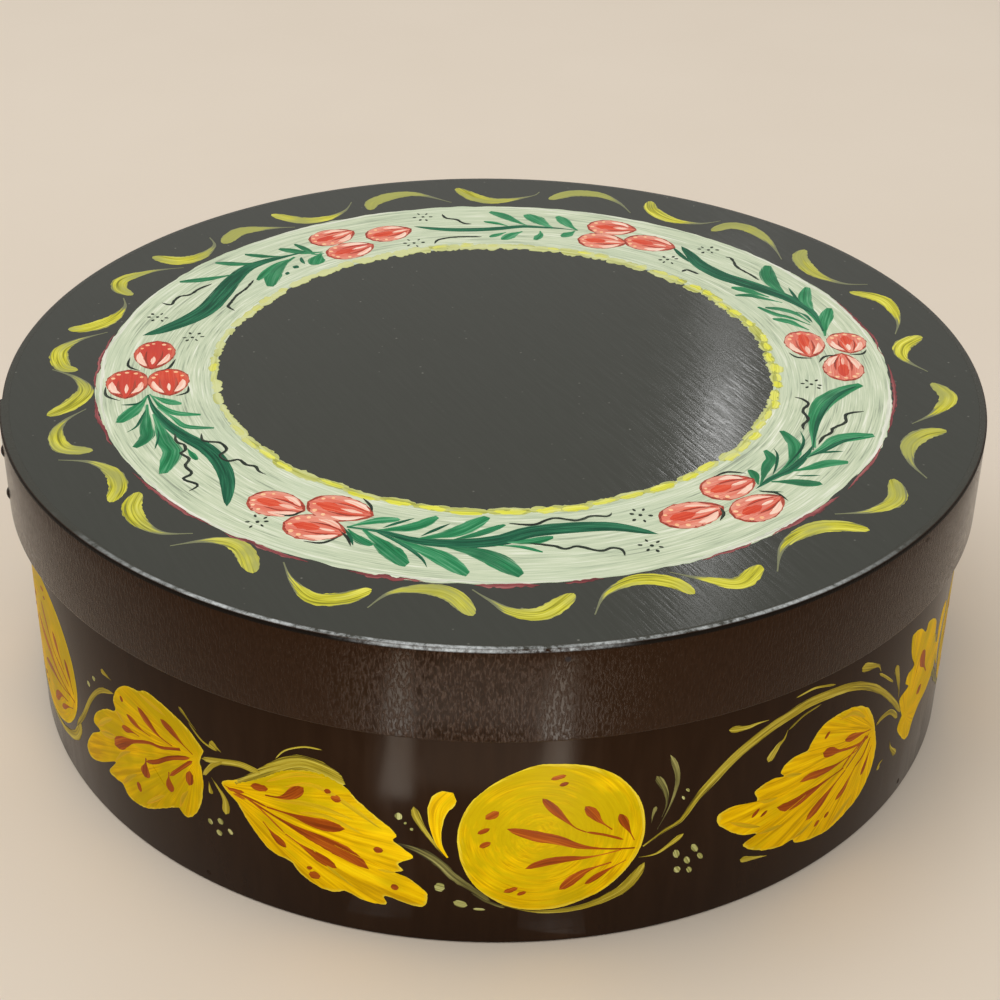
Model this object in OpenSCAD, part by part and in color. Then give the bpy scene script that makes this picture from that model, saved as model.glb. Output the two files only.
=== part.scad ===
// Round bentwood box with a lift-off lid.
// Each half is a thin bent band round a flat board.
// The bands close in a feathered lap that is held by tacks, and brads through the bands hold the boards.
// Origin: middle of the underside. +Z is up, and -Y is the front.

/* [Box] */
// Outside diameter of the box's side band
box_d = 254; // [180:1:320]
// Height of the box without its lid
box_h = 82; // [60:1:140]
// Thickness of the box's side band
box_band_t = 2.4; // [1.6:0.1:4]
// Thickness of the round base board
base_t = 6; // [4:0.5:12]

/* [Lid] */
// Height of the lid's rim band
lid_h = 25.5; // [20:0.5:40]
// Thickness of the lid's rim band
lid_band_t = 2; // [1.4:0.1:4]
// Thickness of the round lid board
lid_t = 6; // [4:0.5:12]
// Gap between the lid's rim band and the thickest place of the box's side band
lid_gap = 0.3; // [0.3:0.1:1.5]

/* [Lapped seams] */
// Step at the free end of the side band's lap
box_lap_rise = 0.4; // [0.2:0.1:1]
// Step at the free end of the rim band's lap
lid_lap_rise = 0.6; // [0.2:0.1:1.5]
// Turn over which a lap feathers out to the band's own surface
lap_angle = 40; // [25:1:60]
// Direction of the free end of the side band's lap, turned from +X
box_lap_at = 150; // [0:1:359]
// Direction of the free end of the rim band's lap, turned from +X
lid_lap_at = 190; // [0:1:359]
// Chamfer on the outer edges of the bands
edge_ease = 0.6; // [0.2:0.1:1]

/* [Tacks] */
// Diameter of a tack's head
tack_head_d = 3.2; // [2:0.1:5]
// Height of a tack's domed head
tack_head_h = 0.6; // [0.3:0.1:1]
// Diameter of a tack's shank
tack_d = 1.2; // [0.8:0.1:1.8]
// Distance along a band from the lap's free end to its tacks
tack_inset = 16; // [6:1:30]
// Number of tacks in the side band's lap
box_tacks = 4; // [2:1:6]
// Distance from the outermost of these tacks to the base and to the lid's rim
box_tack_margin = 9; // [4:1:14]
// Number of tacks in the rim band's lap
lid_tacks = 2; // [2:1:3]
// Distance from the outermost of these tacks to the rim band's edges
lid_tack_margin = 6.5; // [3:0.5:7]

/* [Brads] */
// Diameter of a brad
brad_d = 1.4; // [0.8:0.1:2]
// Length of a brad
brad_l = 14; // [8:1:25]
// Number of brads round each board
brads = 8; // [4:1:16]

/* [Fits] */
// Gap round a board in its band, and round a tack or a brad in its hole
fit_gap = 0.05; // [0.02:0.01:0.15]

/* [Hidden] */
$fn = 96;
// Length by which a cutting shape runs past the surface that it cuts
over = 1;

box_r = box_d / 2;
box_in_r = box_r - box_band_t;
lid_in_r = box_r + box_lap_rise + lid_gap;
lid_r = lid_in_r + lid_band_t;
top_z = box_h + lid_t;
rim_z = top_z - lid_h;

base_brad_z = base_t / 2;
lid_brad_z = top_z - lid_t / 2;
box_tack_zs = spread(0, rim_z, box_tack_margin, box_tacks);
lid_tack_zs = spread(rim_z, top_z, lid_tack_margin, lid_tacks);

paint_black = [0.07, 0.065, 0.06];
bare_wood = [0.78, 0.62, 0.42];
tack_metal = [0.16, 0.13, 0.11];

// Heights of a column of tacks that keeps a margin from both ends of a stretch
function spread(low, high, margin, count) =
    let (pitch = (high - low - 2 * margin) / (count - 1))
    [for (i = [0 : count - 1]) low + margin + i * pitch];

// A lap's outer face is a circle set off centre towards the free end, so that it sinks into the band.
function lap_shift(rise) = rise / (1 - cos(lap_angle));
function lap_circle_r(r, rise) = r + rise - lap_shift(rise);

// Distance from the axis to a band's outer face, at a turn past the lap's free end
function lap_r(r, rise, turn) =
    let (shift = lap_shift(rise))
    shift * cos(turn) + sqrt(pow(lap_circle_r(r, rise), 2) - pow(shift * sin(turn), 2));
function face_r(r, rise, turn) = turn <= lap_angle ? max(r, lap_r(r, rise, turn)) : r;

// Turn from a lap's free end to its tacks
function tack_turn(r) = tack_inset / r * 180 / PI;

// Turns of the brads from a lap's free end, with the lap midway between two brads
function brad_turns() = [for (i = [1 : brads]) lap_angle / 2 + (i - 0.5) * 360 / brads];
function wrapped(turn) = turn % 360;

// Puts children, drawn along +Z, on a line that runs outwards from the axis
module outwards(at, r, z) {
    rotate(at)
        translate([r, 0, z])
            rotate([0, 90, 0])
                children();
}

// Plain ring of a band, with its outer edges eased
module ring(r, t, h) {
    rotate_extrude()
        polygon([
            [r - t, 0],
            [r - edge_ease, 0],
            [r, edge_ease],
            [r, h - edge_ease],
            [r - edge_ease, h],
            [r - t, h]
        ]);
}

// Outer end of a band where it lies over its own beginning
module lap(r, t, h, rise) {
    reach = 2 * r;
    difference() {
        intersection() {
            translate([lap_shift(rise), 0, edge_ease])
                rotate(180)
                    cylinder(r = lap_circle_r(r, rise), h = h - 2 * edge_ease);
            linear_extrude(h)
                polygon([[0, 0], [reach, 0], [reach * cos(lap_angle), reach * sin(lap_angle)]]);
        }
        rotate(180)
            cylinder(r = r - t / 2, h = h);
    }
}

// Bent band with its lap, and holes for the lap's tacks and the board's brads
module band(r, t, h, rise, at, tack_zs, brad_z) {
    hole_l = t + rise + 2 * over;
    rotate(at)
        difference() {
            union() {
                rotate(180)
                    ring(r, t, h);
                lap(r, t, h, rise);
            }
            for (z = tack_zs)
                outwards(tack_turn(r), r - t - over, z)
                    cylinder(d = tack_d + 2 * fit_gap, h = hole_l);
            for (turn = brad_turns())
                outwards(turn, r - t - over, brad_z)
                    cylinder(d = brad_d + 2 * fit_gap, h = hole_l);
        }
}

// Tacks through a lap, cut off flush with the inside of the band
module lap_tacks(r, t, rise, at, zs) {
    seat_r = face_r(r, rise, tack_turn(r));
    dome_r = (pow(tack_head_d / 2, 2) + pow(tack_head_h, 2)) / (2 * tack_head_h);
    for (z = zs)
        outwards(at + tack_turn(r), r - t, z)
            union() {
                cylinder(d = tack_d, h = seat_r - (r - t) + tack_head_h / 2);
                translate([0, 0, seat_r - (r - t)])
                    intersection() {
                        cylinder(d = tack_head_d, h = tack_head_h);
                        translate([0, 0, tack_head_h - dome_r])
                            sphere(r = dome_r);
                    }
            }
}

// Brads through a band into the edge of its board, flush with the band's outer face
module board_brads(r, rise, at, z) {
    for (turn = brad_turns())
        outwards(at + turn, face_r(r, rise, wrapped(turn)) - brad_l, z)
            cylinder(d = brad_d, h = brad_l);
}

// Round board with blind holes in its edge for the brads
module board(r, t, band_r, rise, at) {
    difference() {
        cylinder(r = r, h = t);
        for (turn = brad_turns())
            outwards(at + turn, face_r(band_r, rise, wrapped(turn)) - brad_l - fit_gap, t / 2)
                cylinder(d = brad_d + 2 * fit_gap, h = brad_l);
    }
}

module base_board() {
    color(bare_wood)
        board(box_in_r - fit_gap, base_t, box_r, box_lap_rise, box_lap_at);
}

module box_band() {
    color(paint_black)
        band(box_r, box_band_t, box_h, box_lap_rise, box_lap_at, box_tack_zs, base_brad_z);
}

module box_lap_tacks() {
    color(tack_metal)
        lap_tacks(box_r, box_band_t, box_lap_rise, box_lap_at, box_tack_zs);
}

module base_brads() {
    color(tack_metal)
        board_brads(box_r, box_lap_rise, box_lap_at, base_brad_z);
}

module lid_board() {
    color(paint_black)
        translate([0, 0, box_h])
            board(lid_in_r - fit_gap, lid_t, lid_r, lid_lap_rise, lid_lap_at);
}

module lid_band() {
    color(paint_black)
        translate([0, 0, rim_z])
            band(lid_r, lid_band_t, lid_h, lid_lap_rise, lid_lap_at,
                 [for (z = lid_tack_zs) z - rim_z], lid_brad_z - rim_z);
}

module lid_lap_tacks() {
    color(tack_metal)
        lap_tacks(lid_r, lid_band_t, lid_lap_rise, lid_lap_at, lid_tack_zs);
}

module lid_brads() {
    color(tack_metal)
        board_brads(lid_r, lid_lap_rise, lid_lap_at, lid_brad_z);
}

base_board();
box_band();
box_lap_tacks();
base_brads();
lid_board();
lid_band();
lid_lap_tacks();
lid_brads();
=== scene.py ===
"""Looks of a round bentwood box with a lift-off lid, painted black and decorated with brush strokes."""

import math
import random

import bpy
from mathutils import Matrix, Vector, noise
from mathutils.geometry import interpolate_bezier


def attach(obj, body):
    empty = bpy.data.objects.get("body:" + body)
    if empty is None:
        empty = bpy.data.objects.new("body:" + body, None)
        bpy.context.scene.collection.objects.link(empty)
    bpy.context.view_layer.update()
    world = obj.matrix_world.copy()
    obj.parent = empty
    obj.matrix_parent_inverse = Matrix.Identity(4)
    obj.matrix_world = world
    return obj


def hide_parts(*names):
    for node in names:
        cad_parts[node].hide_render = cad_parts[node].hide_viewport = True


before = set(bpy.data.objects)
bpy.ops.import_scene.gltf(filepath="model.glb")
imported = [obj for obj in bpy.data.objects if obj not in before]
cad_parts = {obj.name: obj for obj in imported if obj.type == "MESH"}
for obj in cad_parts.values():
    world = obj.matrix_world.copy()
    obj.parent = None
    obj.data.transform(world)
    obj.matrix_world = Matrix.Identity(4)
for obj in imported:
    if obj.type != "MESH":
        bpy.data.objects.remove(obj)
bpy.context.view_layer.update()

MM = 0.001

# Sizes of the box in millimetres, as in the part's source
BOX_R = 127.0
BOX_H = 82.0
BOX_BAND_T = 2.4
BASE_T = 6.0
LID_IN_R = 127.7
LID_TOP = 88.0
LID_T = 6.0
RIM_LOW = 62.5
FIT_GAP = 0.05
BOX_LAP_RISE = 0.4
LID_LAP_RISE = 0.6
LAP_ANGLE = 40.0
BOX_LAP_AT = 150.0
LID_LAP_AT = 190.0

# Finish sizes in millimetres: the rim is a hair smaller, to stay inside the part's bounds
LID_R = 129.68
LID_BAND_T = LID_R - LID_IN_R
OUTER_EASE = 0.6
BOARD_EASE = 0.25
LID_BOARD_EASE = 0.02
SEAM_GAP = 0.01
PAINT_ROOM = 0.17
LID_FACE = LID_TOP - PAINT_ROOM
FILM_SINK = 0.02
BAND_STEPS = 288
STEP_SPAN = 0.04

# Values that several finishes or shapes share; reliefs and merging distances are in metres
UNTURNED = (0.0, 0.0, 0.0)
PAINT_SHINE = 0.07
DULL_SHINE = 0.02
FINE_RELIEF = 0.00008
STREAK_RELIEF = 0.00004
PEEL_RELIEF = 0.00003
WOOD_RELIEF = 0.00012
PIECE_SMOOTH = math.radians(35.0)
FILM_SMOOTH = math.radians(50.0)
BOARD_SIDES = 192
EASE_SEGMENTS = 3
LINE_STEPS = 14
DOME = 0.45
EDGE_STEP = 0.8
EDGE_APART = 3.0
TURN_SLACK = 0.01
BAND_MERGE = 0.00001
FILM_MERGE = 0.000002
SEED_SPAN = 500.0

# How far a face's normal must point up, down or towards the axis to count as such
LEVEL = 0.99
UPWARD = 0.8
DOWNWARD = -0.5
INWARD = -0.3

draw = random.Random(27)


def tone(red, green, blue):
    """Colour as the eye reads it on a screen, 0 to 255, made linear for a shader."""
    linear = []
    for value in (red, green, blue):
        share = value / 255
        linear.append(share / 12.92 if share <= 0.04045 else ((share + 0.055) / 1.055) ** 2.4)
    return (*linear, 1.0)


def ease(share):
    """A smooth rise from 0 to 1."""
    share = min(max(share, 0.0), 1.0)
    return share * share * (3.0 - 2.0 * share)


class Finish:
    """A material under construction, with its shader ready."""

    def __init__(self, name):
        self.material = bpy.data.materials.new(name)
        self.material.use_nodes = True
        self.tree = self.material.node_tree
        self.shader = self.tree.nodes["Principled BSDF"]

    def add(self, kind, inputs=None, **settings):
        made = self.tree.nodes.new("ShaderNode" + kind)
        for key, value in settings.items():
            setattr(made, key, value)
        for key, value in (inputs or {}).items():
            self.put(made.inputs[key], value)
        return made

    def put(self, socket, value):
        if isinstance(value, bpy.types.NodeSocket):
            self.tree.links.new(value, socket)
        else:
            socket.default_value = value

    def set(self, **values):
        for key, value in values.items():
            self.put(self.shader.inputs[key.replace("_", " ")], value)

    def place(self, scale, turn=UNTURNED):
        """Object coordinates, turned and then stretched."""
        coords = self.add("TexCoord").outputs["Object"]
        turned = self.add("Mapping", {"Vector": coords, "Rotation": turn})
        return self.add("Mapping", {"Vector": turned.outputs["Vector"], "Scale": scale}).outputs["Vector"]

    def polar(self):
        """The direction from the box's axis, the distance from it, and the coordinates themselves."""
        coords = self.add("TexCoord").outputs["Object"]
        flat = self.add("VectorMath", {0: coords, 1: (1.0, 1.0, 0.0)}, operation="MULTIPLY").outputs[0]
        out = self.add("VectorMath", {0: flat}, operation="NORMALIZE").outputs[0]
        reach = self.add("VectorMath", {0: flat}, operation="LENGTH").outputs["Value"]
        return self.add("SeparateXYZ", {0: out}), reach, self.add("SeparateXYZ", {0: coords})

    def grain(self, vector, detail=4.0, rough=0.6, warp=0.0):
        inputs = {"Vector": vector, "Scale": 1.0, "Detail": detail, "Roughness": rough, "Distortion": warp}
        return self.add("TexNoise", inputs).outputs["Fac"]

    def span(self, value, low, high, to_low=0.0, to_high=1.0):
        inputs = {"Value": value, "From Min": low, "From Max": high, "To Min": to_low, "To Max": to_high}
        return self.add("MapRange", inputs).outputs["Result"]

    def even(self, scale):
        """Object coordinates, stretched alike in every direction."""
        return self.place((scale, scale, scale))

    def maths(self, operation, first, second=0.0):
        made = self.add("Math", operation=operation)
        self.put(made.inputs[0], first)
        self.put(made.inputs[1], second)
        return made.outputs[0]

    def plus(self, first, second):
        return self.maths("ADD", first, second)

    def times(self, first, *more):
        for value in more:
            first = self.maths("MULTIPLY", first, value)
        return first

    def mix(self, share, first, second):
        made = self.add("Mix", data_type="RGBA")
        self.put(made.inputs[0], share)
        self.put(made.inputs[6], first)
        self.put(made.inputs[7], second)
        return made.outputs[2]

    def ramp(self, value, *stops):
        made = self.add("ValToRGB", {"Fac": value})
        line = made.color_ramp
        for stop in stops[2:]:
            line.elements.new(stop[0])
        for element, (at, colour) in zip(line.elements, sorted(stops, key=lambda stop: stop[0])):
            element.position = at
            element.color = colour
        return made.outputs["Color"]

    def bump(self, height, strength, distance, under=None):
        inputs = {"Height": height, "Strength": strength, "Distance": distance}
        if under is not None:
            inputs["Normal"] = under
        return self.add("Bump", inputs).outputs["Normal"]


def rim_wear_and_painted_light(f, streaks, shade, rough):
    """A rim's top edge: a broken pale line, part wear and part painted highlight, strongest at the front; a
    dark line of painted shade on the bevel below; and a patch at the front with paler and darker grain, part
    wear and part painted glare.
    """
    out, reach, spot = f.polar()
    below = f.maths("SUBTRACT", LID_FACE * MM, spot.outputs[2])
    top = f.span(below, 0.0, 0.1 * MM, 1.0, 0.0)
    scuffs = f.grain(f.even(420.0), detail=6.0, rough=0.8)
    patchy = f.grain(f.even(45.0), detail=2.0)
    sway = f.span(patchy, 0.0, 1.0, -0.12, 0.12)
    aside = f.plus(f.maths("ABSOLUTE", out.outputs[0]), sway)
    ahead = f.span(out.outputs[1], -0.3, 0.0, 1.0, 0.0)
    middle = f.span(aside, 0.14, 0.24, 1.0, 0.0)
    front = f.times(f.span(aside, 0.5, 0.78, 1.0, 0.0), ahead)
    broken = f.span(f.plus(f.times(scuffs, 0.7), f.times(patchy, 0.4)), 0.44, 0.62)
    upper = f.times(top, f.span(reach, (LID_R - 1.6) * MM, (LID_R - 1.2) * MM))
    begins = f.span(below, 0.05 * MM, 0.15 * MM)
    lower = f.times(begins, f.span(below, 0.5 * MM, 0.85 * MM, 1.0, 0.0), middle)
    # The pale line along the edge: wear, with a painted highlight that is strongest towards the front
    line = f.times(f.plus(upper, lower), broken, front)
    # A dark line on the bevel under the top edge: painted shade
    begins = f.span(below, 0.1 * MM, 0.2 * MM)
    beside = f.span(middle, 0.0, 1.0, 1.0, 0.2)
    edge = f.times(begins, f.span(below, 0.9 * MM, 1.2 * MM, 1.0, 0.0), beside)
    # Paler and darker grain painted in a patch at the front: part wear, part painted glare on the grain
    off_middle = f.maths("ABSOLUTE", f.plus(out.outputs[0], WORN_GLARE_AT))
    worn_glare = f.times(f.span(off_middle, 0.07, 0.21, 1.0, 0.0), ahead)
    shade = f.mix(f.times(worn_glare, f.span(streaks, 0.38, 0.5, 0.5, 0.0)), shade, WORN_GLARE_DARK)
    shade = f.mix(f.times(worn_glare, f.span(streaks, 0.52, 0.68, 0.0, 0.42)), shade, WORN_GLARE_LIGHT)
    shade = f.mix(top, shade, LID_BLACK)
    shade = f.mix(edge, shade, EDGE_PAINTED_SHADE)
    shade = f.mix(f.times(line, 0.95), shade, EDGE_WEAR_AND_HIGHLIGHT)
    return shade, f.plus(rough, f.times(edge, 0.35))


def black_paint(name, base, worn, streak_scale, streak_turn, dust, gloss, combed, pores, ridge, shine,
                reflection_tint, worn_and_lit_rim=False):
    """Hand-brushed black paint with fine streaks and a few specks of dust, and perhaps a rim's top edge with
    wear, a painted highlight and painted shade.
    """
    f = Finish(name)
    streaks = f.grain(f.place(streak_scale, streak_turn), detail=3.0, rough=0.55, warp=0.3)
    broad = f.grain(f.even(38.0), detail=3.0)
    peel = f.grain(f.even(1500.0), detail=2.0)
    shade = f.mix(f.span(streaks, 0.35, 0.75), base, worn)
    specks = f.add("TexVoronoi", {"Vector": f.even(260.0), "Scale": 1.0})
    near = f.span(specks.outputs["Distance"], 0.03, 0.1, 1.0, 0.0)
    pick = f.add("SeparateColor", {"Color": specks.outputs["Color"]}).outputs[0]
    dusty = f.times(near, f.span(pick, 0.5, 1.0), dust)
    shade = f.mix(dusty, shade, DUST)
    rough = f.plus(f.span(broad, 0.3, 0.7, *gloss), f.span(streaks, 0.35, 0.65, -combed, combed))
    if worn_and_lit_rim:
        shade, rough = rim_wear_and_painted_light(f, streaks, shade, rough)
    ridges = f.bump(f.span(streaks, *pores), ridge, STREAK_RELIEF)
    f.set(
        Base_Color=shade,
        Roughness=f.plus(rough, f.times(dusty, 0.4)),
        Specular_IOR_Level=shine,
        Specular_Tint=reflection_tint,
        Normal=f.bump(peel, 0.12, PEEL_RELIEF, ridges),
    )
    return f.material


def bare_wood(name, along, turn):
    """Bare pale wood with its grain along one direction."""
    f = Finish(name)
    rings = f.grain(f.place(along, turn), detail=5.0, rough=0.6, warp=1.2)
    fine = f.grain(f.place(tuple(5.0 * s for s in along), turn), detail=4.0, rough=0.7)
    broad = f.grain(f.even(14.0), detail=2.0)
    shade = f.ramp(
        rings,
        (0.3, tone(176, 132, 84)),
        (0.5, tone(206, 164, 112)),
        (0.72, tone(222, 186, 138)),
    )
    flecked = f.mix(f.span(fine, 0.55, 0.75, 0.0, 0.45), shade, tone(140, 98, 58))
    f.set(
        Base_Color=f.mix(f.span(broad, 0.35, 0.7, 0.0, 0.35), flecked, tone(188, 146, 98)),
        Roughness=f.span(fine, 0.3, 0.7, 0.55, 0.72),
        Normal=f.bump(fine, 0.4, WOOD_RELIEF),
    )
    return f.material


def brush_paint(name, deep, body, light, under, cover, tail, edge=0.35, hair=0.45, run=14.0, cloud=None,
                shine=PAINT_SHINE):
    """Paint laid by a brush: hair streaks along the stroke, thin at its tail and edges."""
    f = Finish(name)
    hairs = f.add("Attribute", attribute_name="hairs").outputs["Vector"]
    stretch = f.add("VectorMath", {0: hairs, 1: (1.0 / run, 1.0 / hair, 1.0)}, operation="MULTIPLY")
    streaks = f.grain(stretch.outputs[0], detail=3.0, rough=0.6)
    coarse = f.add("VectorMath", {0: hairs, 1: (0.7 / run, 0.3 / hair, 1.7)}, operation="MULTIPLY")
    patches = f.grain(coarse.outputs[0], detail=2.0)
    film = f.add("SeparateXYZ", {0: f.add("Attribute", attribute_name="film").outputs["Vector"]})
    along = film.outputs[0]
    aside = film.outputs[1]
    mixed = f.plus(f.times(streaks, 0.6), f.times(patches, 0.4))
    shade = f.ramp(mixed, (0.38, deep), (0.5, body), (0.64, light))
    if cloud:
        drift = f.plus(f.times(f.grain(f.even(60.0), detail=2.0), 0.6), f.times(patches, 0.4))
        drift = f.plus(drift, f.times(film.outputs[2], 0.22))
        shade = f.mix(f.span(drift, 0.5, 0.68, 0.0, 0.85), shade, cloud)
    thinner = f.times(f.maths("POWER", aside, 3.0), edge)
    load = f.maths("SUBTRACT", f.span(along, 0.0, 0.45, 1.0 - tail, 1.0), thinner)
    laid = f.span(f.plus(load, f.span(streaks, 0.25, 0.75, -0.75, 0.1)), *cover)
    f.set(
        Base_Color=f.mix(laid, under, shade),
        Roughness=f.span(streaks, 0.3, 0.7, 0.3, 0.48),
        Specular_IOR_Level=shine,
        Normal=f.bump(streaks, 0.45, FINE_RELIEF),
    )
    return f.material


def ring_paint(name):
    """Pale green-white paint of the wreath ring, with brush streaks that run round it."""
    f = Finish(name)
    out, reach = f.polar()[:2]

    def streak(turns, hairs):
        made = f.add("CombineXYZ", {
            0: f.times(out.outputs[0], turns),
            1: f.times(out.outputs[1], turns),
            2: f.times(reach, hairs),
        })
        return f.grain(made.outputs[0], detail=4.0, rough=0.6, warp=0.25)

    fine = streak(7.0, 2600.0)
    wide = streak(4.0, 800.0)
    patches = f.grain(f.even(30.0), detail=2.0)
    shade = f.ramp(
        f.plus(f.times(fine, 0.6), f.times(wide, 0.4)),
        (0.36, tone(146, 154, 134)),
        (0.44, tone(188, 200, 170)),
        (0.54, tone(208, 216, 186)),
        (0.64, tone(236, 238, 220)),
    )
    f.set(
        Base_Color=f.mix(f.span(patches, 0.45, 0.75, 0.0, 0.45), shade, tone(198, 210, 182)),
        Roughness=f.span(fine, 0.3, 0.7, 0.34, 0.5),
        Specular_IOR_Level=PAINT_SHINE,
        Normal=f.bump(fine, 0.4, FINE_RELIEF),
    )
    return f.material


def painted_head(name, base, worn):
    """Small iron heads under the same paint, worn a little."""
    f = Finish(name)
    rub = f.grain(f.even(700.0), detail=4.0)
    f.set(
        Base_Color=f.mix(f.span(rub, 0.5, 0.68), base, worn),
        Roughness=f.span(rub, 0.3, 0.7, 0.3, 0.5),
        Specular_IOR_Level=PAINT_SHINE,
        Normal=f.bump(rub, 0.3, FINE_RELIEF),
    )
    return f.material


def floor_paint(name):
    """Plain pale studio floor."""
    f = Finish(name)
    mottle = f.grain(f.even(6.0), detail=3.0)
    f.set(Base_Color=f.mix(mottle, tone(222, 208, 190), tone(229, 216, 199)), Roughness=0.6)
    return f.material


def alone():
    """Clears the selection."""
    bpy.ops.object.select_all(action="DESELECT")


def only(piece):
    """Selects one piece alone."""
    alone()
    piece.select_set(True)
    bpy.context.view_layer.objects.active = piece


def edit(piece):
    """Opens a piece for editing, with all of it selected."""
    only(piece)
    bpy.ops.object.mode_set(mode="EDIT")
    bpy.ops.mesh.select_mode(type="VERT")
    bpy.ops.mesh.select_all(action="SELECT")


def done():
    """Closes the editing."""
    bpy.ops.object.mode_set(mode="OBJECT")


def seat(piece, body, finish_slot, *nodes):
    """Joins a finished piece to the frame."""
    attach(piece, body)
    if nodes:
        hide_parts(*nodes)


def lap_reach(r, rise, turn):
    """Distance from the axis to a band's outer face, at a turn in degrees past its lap's free end."""
    turn = turn % 360.0
    if turn > LAP_ANGLE:
        return r
    shift = rise / (1.0 - math.cos(math.radians(LAP_ANGLE)))
    circle = r + rise - shift
    angle = math.radians(turn)
    return max(r, shift * math.cos(angle) + math.sqrt(circle ** 2 - (shift * math.sin(angle)) ** 2))


def bent_band(name, r, thick, low, high, rise, lap_at, split=None):
    """A strip's section, eased at its corners, spun round the axis and thickened at its lap.

    A split band is cut at a height and keeps sharp inner corners, so that its board meets it closely.
    """
    alone()
    bpy.ops.mesh.primitive_plane_add(size=1.0)
    band = bpy.context.object
    band.name = name
    band.scale = (thick * MM, (high - low) * MM, 1.0)
    band.rotation_euler = (math.radians(90.0), 0.0, 0.0)
    band.location = ((r - thick / 2) * MM, 0.0, (low + high) / 2 * MM)
    bpy.ops.object.transform_apply(location=True, rotation=True, scale=True)
    edit(band)
    bpy.ops.mesh.select_all(action="DESELECT")
    done()
    for vertex in band.data.vertices:
        vertex.select = split is None or vertex.co.x > (r - thick / 2) * MM
    bpy.ops.object.mode_set(mode="EDIT")
    bpy.ops.mesh.bevel(offset=OUTER_EASE * MM, segments=EASE_SEGMENTS, affect="VERTICES")
    bpy.ops.mesh.select_all(action="SELECT")
    bpy.ops.mesh.delete(type="ONLY_FACE")
    bpy.ops.mesh.select_all(action="SELECT")
    bpy.ops.mesh.spin(steps=BAND_STEPS, angle=math.tau, center=(0.0, 0.0, 0.0), axis=(0.0, 0.0, 1.0))
    bpy.ops.mesh.select_all(action="SELECT")
    bpy.ops.mesh.remove_doubles(threshold=BAND_MERGE)
    bpy.ops.mesh.normals_make_consistent(inside=False)
    if split is not None:
        bpy.ops.mesh.select_all(action="SELECT")
        bpy.ops.mesh.bisect(plane_co=(0.0, 0.0, split * MM), plane_no=(0.0, 0.0, 1.0))
    done()
    step = 360.0 / BAND_STEPS
    middle = r - thick / 2
    for vertex in band.data.vertices:
        reach = vertex.co.xy.length / MM
        if reach < middle:
            continue
        turn = (math.degrees(math.atan2(vertex.co.y, vertex.co.x)) - lap_at) % 360.0
        if turn > 360.0 - TURN_SLACK:
            turn = 0.0
        if turn > 360.0 - 1.5 * step:
            turn = 360.0 - STEP_SPAN
        reach += lap_reach(r, rise, turn) - r
        angle = math.radians(lap_at + turn)
        vertex.co.x = reach * math.cos(angle) * MM
        vertex.co.y = reach * math.sin(angle) * MM
    only(band)
    bpy.ops.object.shade_smooth_by_angle(angle=PIECE_SMOOTH)
    return band


def wood_inside(band, wood, bare_top, up_to):
    """Leaves a band's inner face bare up to a height, and perhaps its top edge too."""
    band.data.materials.append(wood)
    for face in band.data.polygons:
        out = Vector((face.center.x, face.center.y, 0.0)).normalized()
        inside = face.normal.dot(out) < INWARD and face.center.z < up_to * MM
        if inside or (bare_top and face.normal.z > UPWARD):
            face.material_index = 1


def round_board(name, r, low, high, easing):
    """A turned board with eased edges."""
    alone()
    bpy.ops.mesh.primitive_cylinder_add(vertices=BOARD_SIDES, radius=r * MM, depth=(high - low) * MM,
                                        location=(0.0, 0.0, (low + high) / 2 * MM))
    board = bpy.context.object
    board.name = name
    bpy.ops.object.transform_apply(location=True, rotation=True, scale=True)
    edit(board)
    bpy.ops.mesh.select_mode(type="FACE")
    bpy.ops.mesh.select_all(action="DESELECT")
    done()
    for face in board.data.polygons:
        face.select = abs(face.normal.z) > LEVEL
    bpy.ops.object.mode_set(mode="EDIT")
    bpy.ops.mesh.bevel(offset=easing * MM, segments=EASE_SEGMENTS, affect="EDGES")
    done()
    only(board)
    bpy.ops.object.shade_smooth_by_angle(angle=PIECE_SMOOTH)
    for face in board.data.polygons:
        if abs(face.normal.z) > LEVEL:
            face.use_smooth = False
    return board


# Ways that a brush stroke swells from its start, 0, to its end, 1


def round_end(u, start):
    """The quarter circle that closes a stroke from its start of rounding to 1."""
    return math.sqrt(max(0.0, 1.0 - ((u - start) / (1.0 - start)) ** 2))


def comma(u):
    """A thin tail that grows into a round head."""
    if u > 0.82:
        return round_end(u, 0.82)
    return 0.08 + 0.92 * (u / 0.82) ** 1.25


def sickle(u):
    """A long thin tail, a full middle and a head that narrows to a round end."""
    if u > 0.68:
        return math.sqrt(max(0.0, 1.0 - ((u - 0.68) / 0.32) ** 2.4))
    return 0.07 + 0.93 * ease(u / 0.68) ** 1.25


def lobe(u):
    """A broad stroke pulled out from a root, with a round end."""
    if u > 0.74:
        return round_end(u, 0.74)
    return 0.3 + 0.7 * ease(u / 0.74)


def leaflet(u):
    """A short stroke that widens from its root and is lifted off bluntly."""
    if u > 0.66:
        return 1.0 - 0.62 * ((u - 0.66) / 0.34) ** 2
    return 0.2 + 0.8 * ease(u / 0.66)


def blade(u):
    """A long leaf, fullest past its middle and pointed at its tip."""
    return max(0.16 * (1.0 - u), u * (1.0 - u) ** 0.6 / 0.347)


def lens(u):
    """A dab that is pointed at both ends."""
    return max(0.0, math.sin(math.pi * u)) ** 0.75


def pad(u):
    """A flat dab with soft corners."""
    return max(0.0, 1.0 - (2.0 * u - 1.0) ** 4) ** 0.5


def thread(u):
    """A line of even width with soft ends."""
    return min(1.0, math.sqrt(min(8.0 * u, 8.0 * (1.0 - u))))


def vine(u):
    """A stem, thin at its start, fullest before its middle and slimmer to its end."""
    return (0.25 + 0.75 * ease(u / 0.3) - 0.45 * ease((u - 0.45) / 0.5)) * min(1.0, 20.0 * (1.0 - u)) ** 0.5


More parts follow.
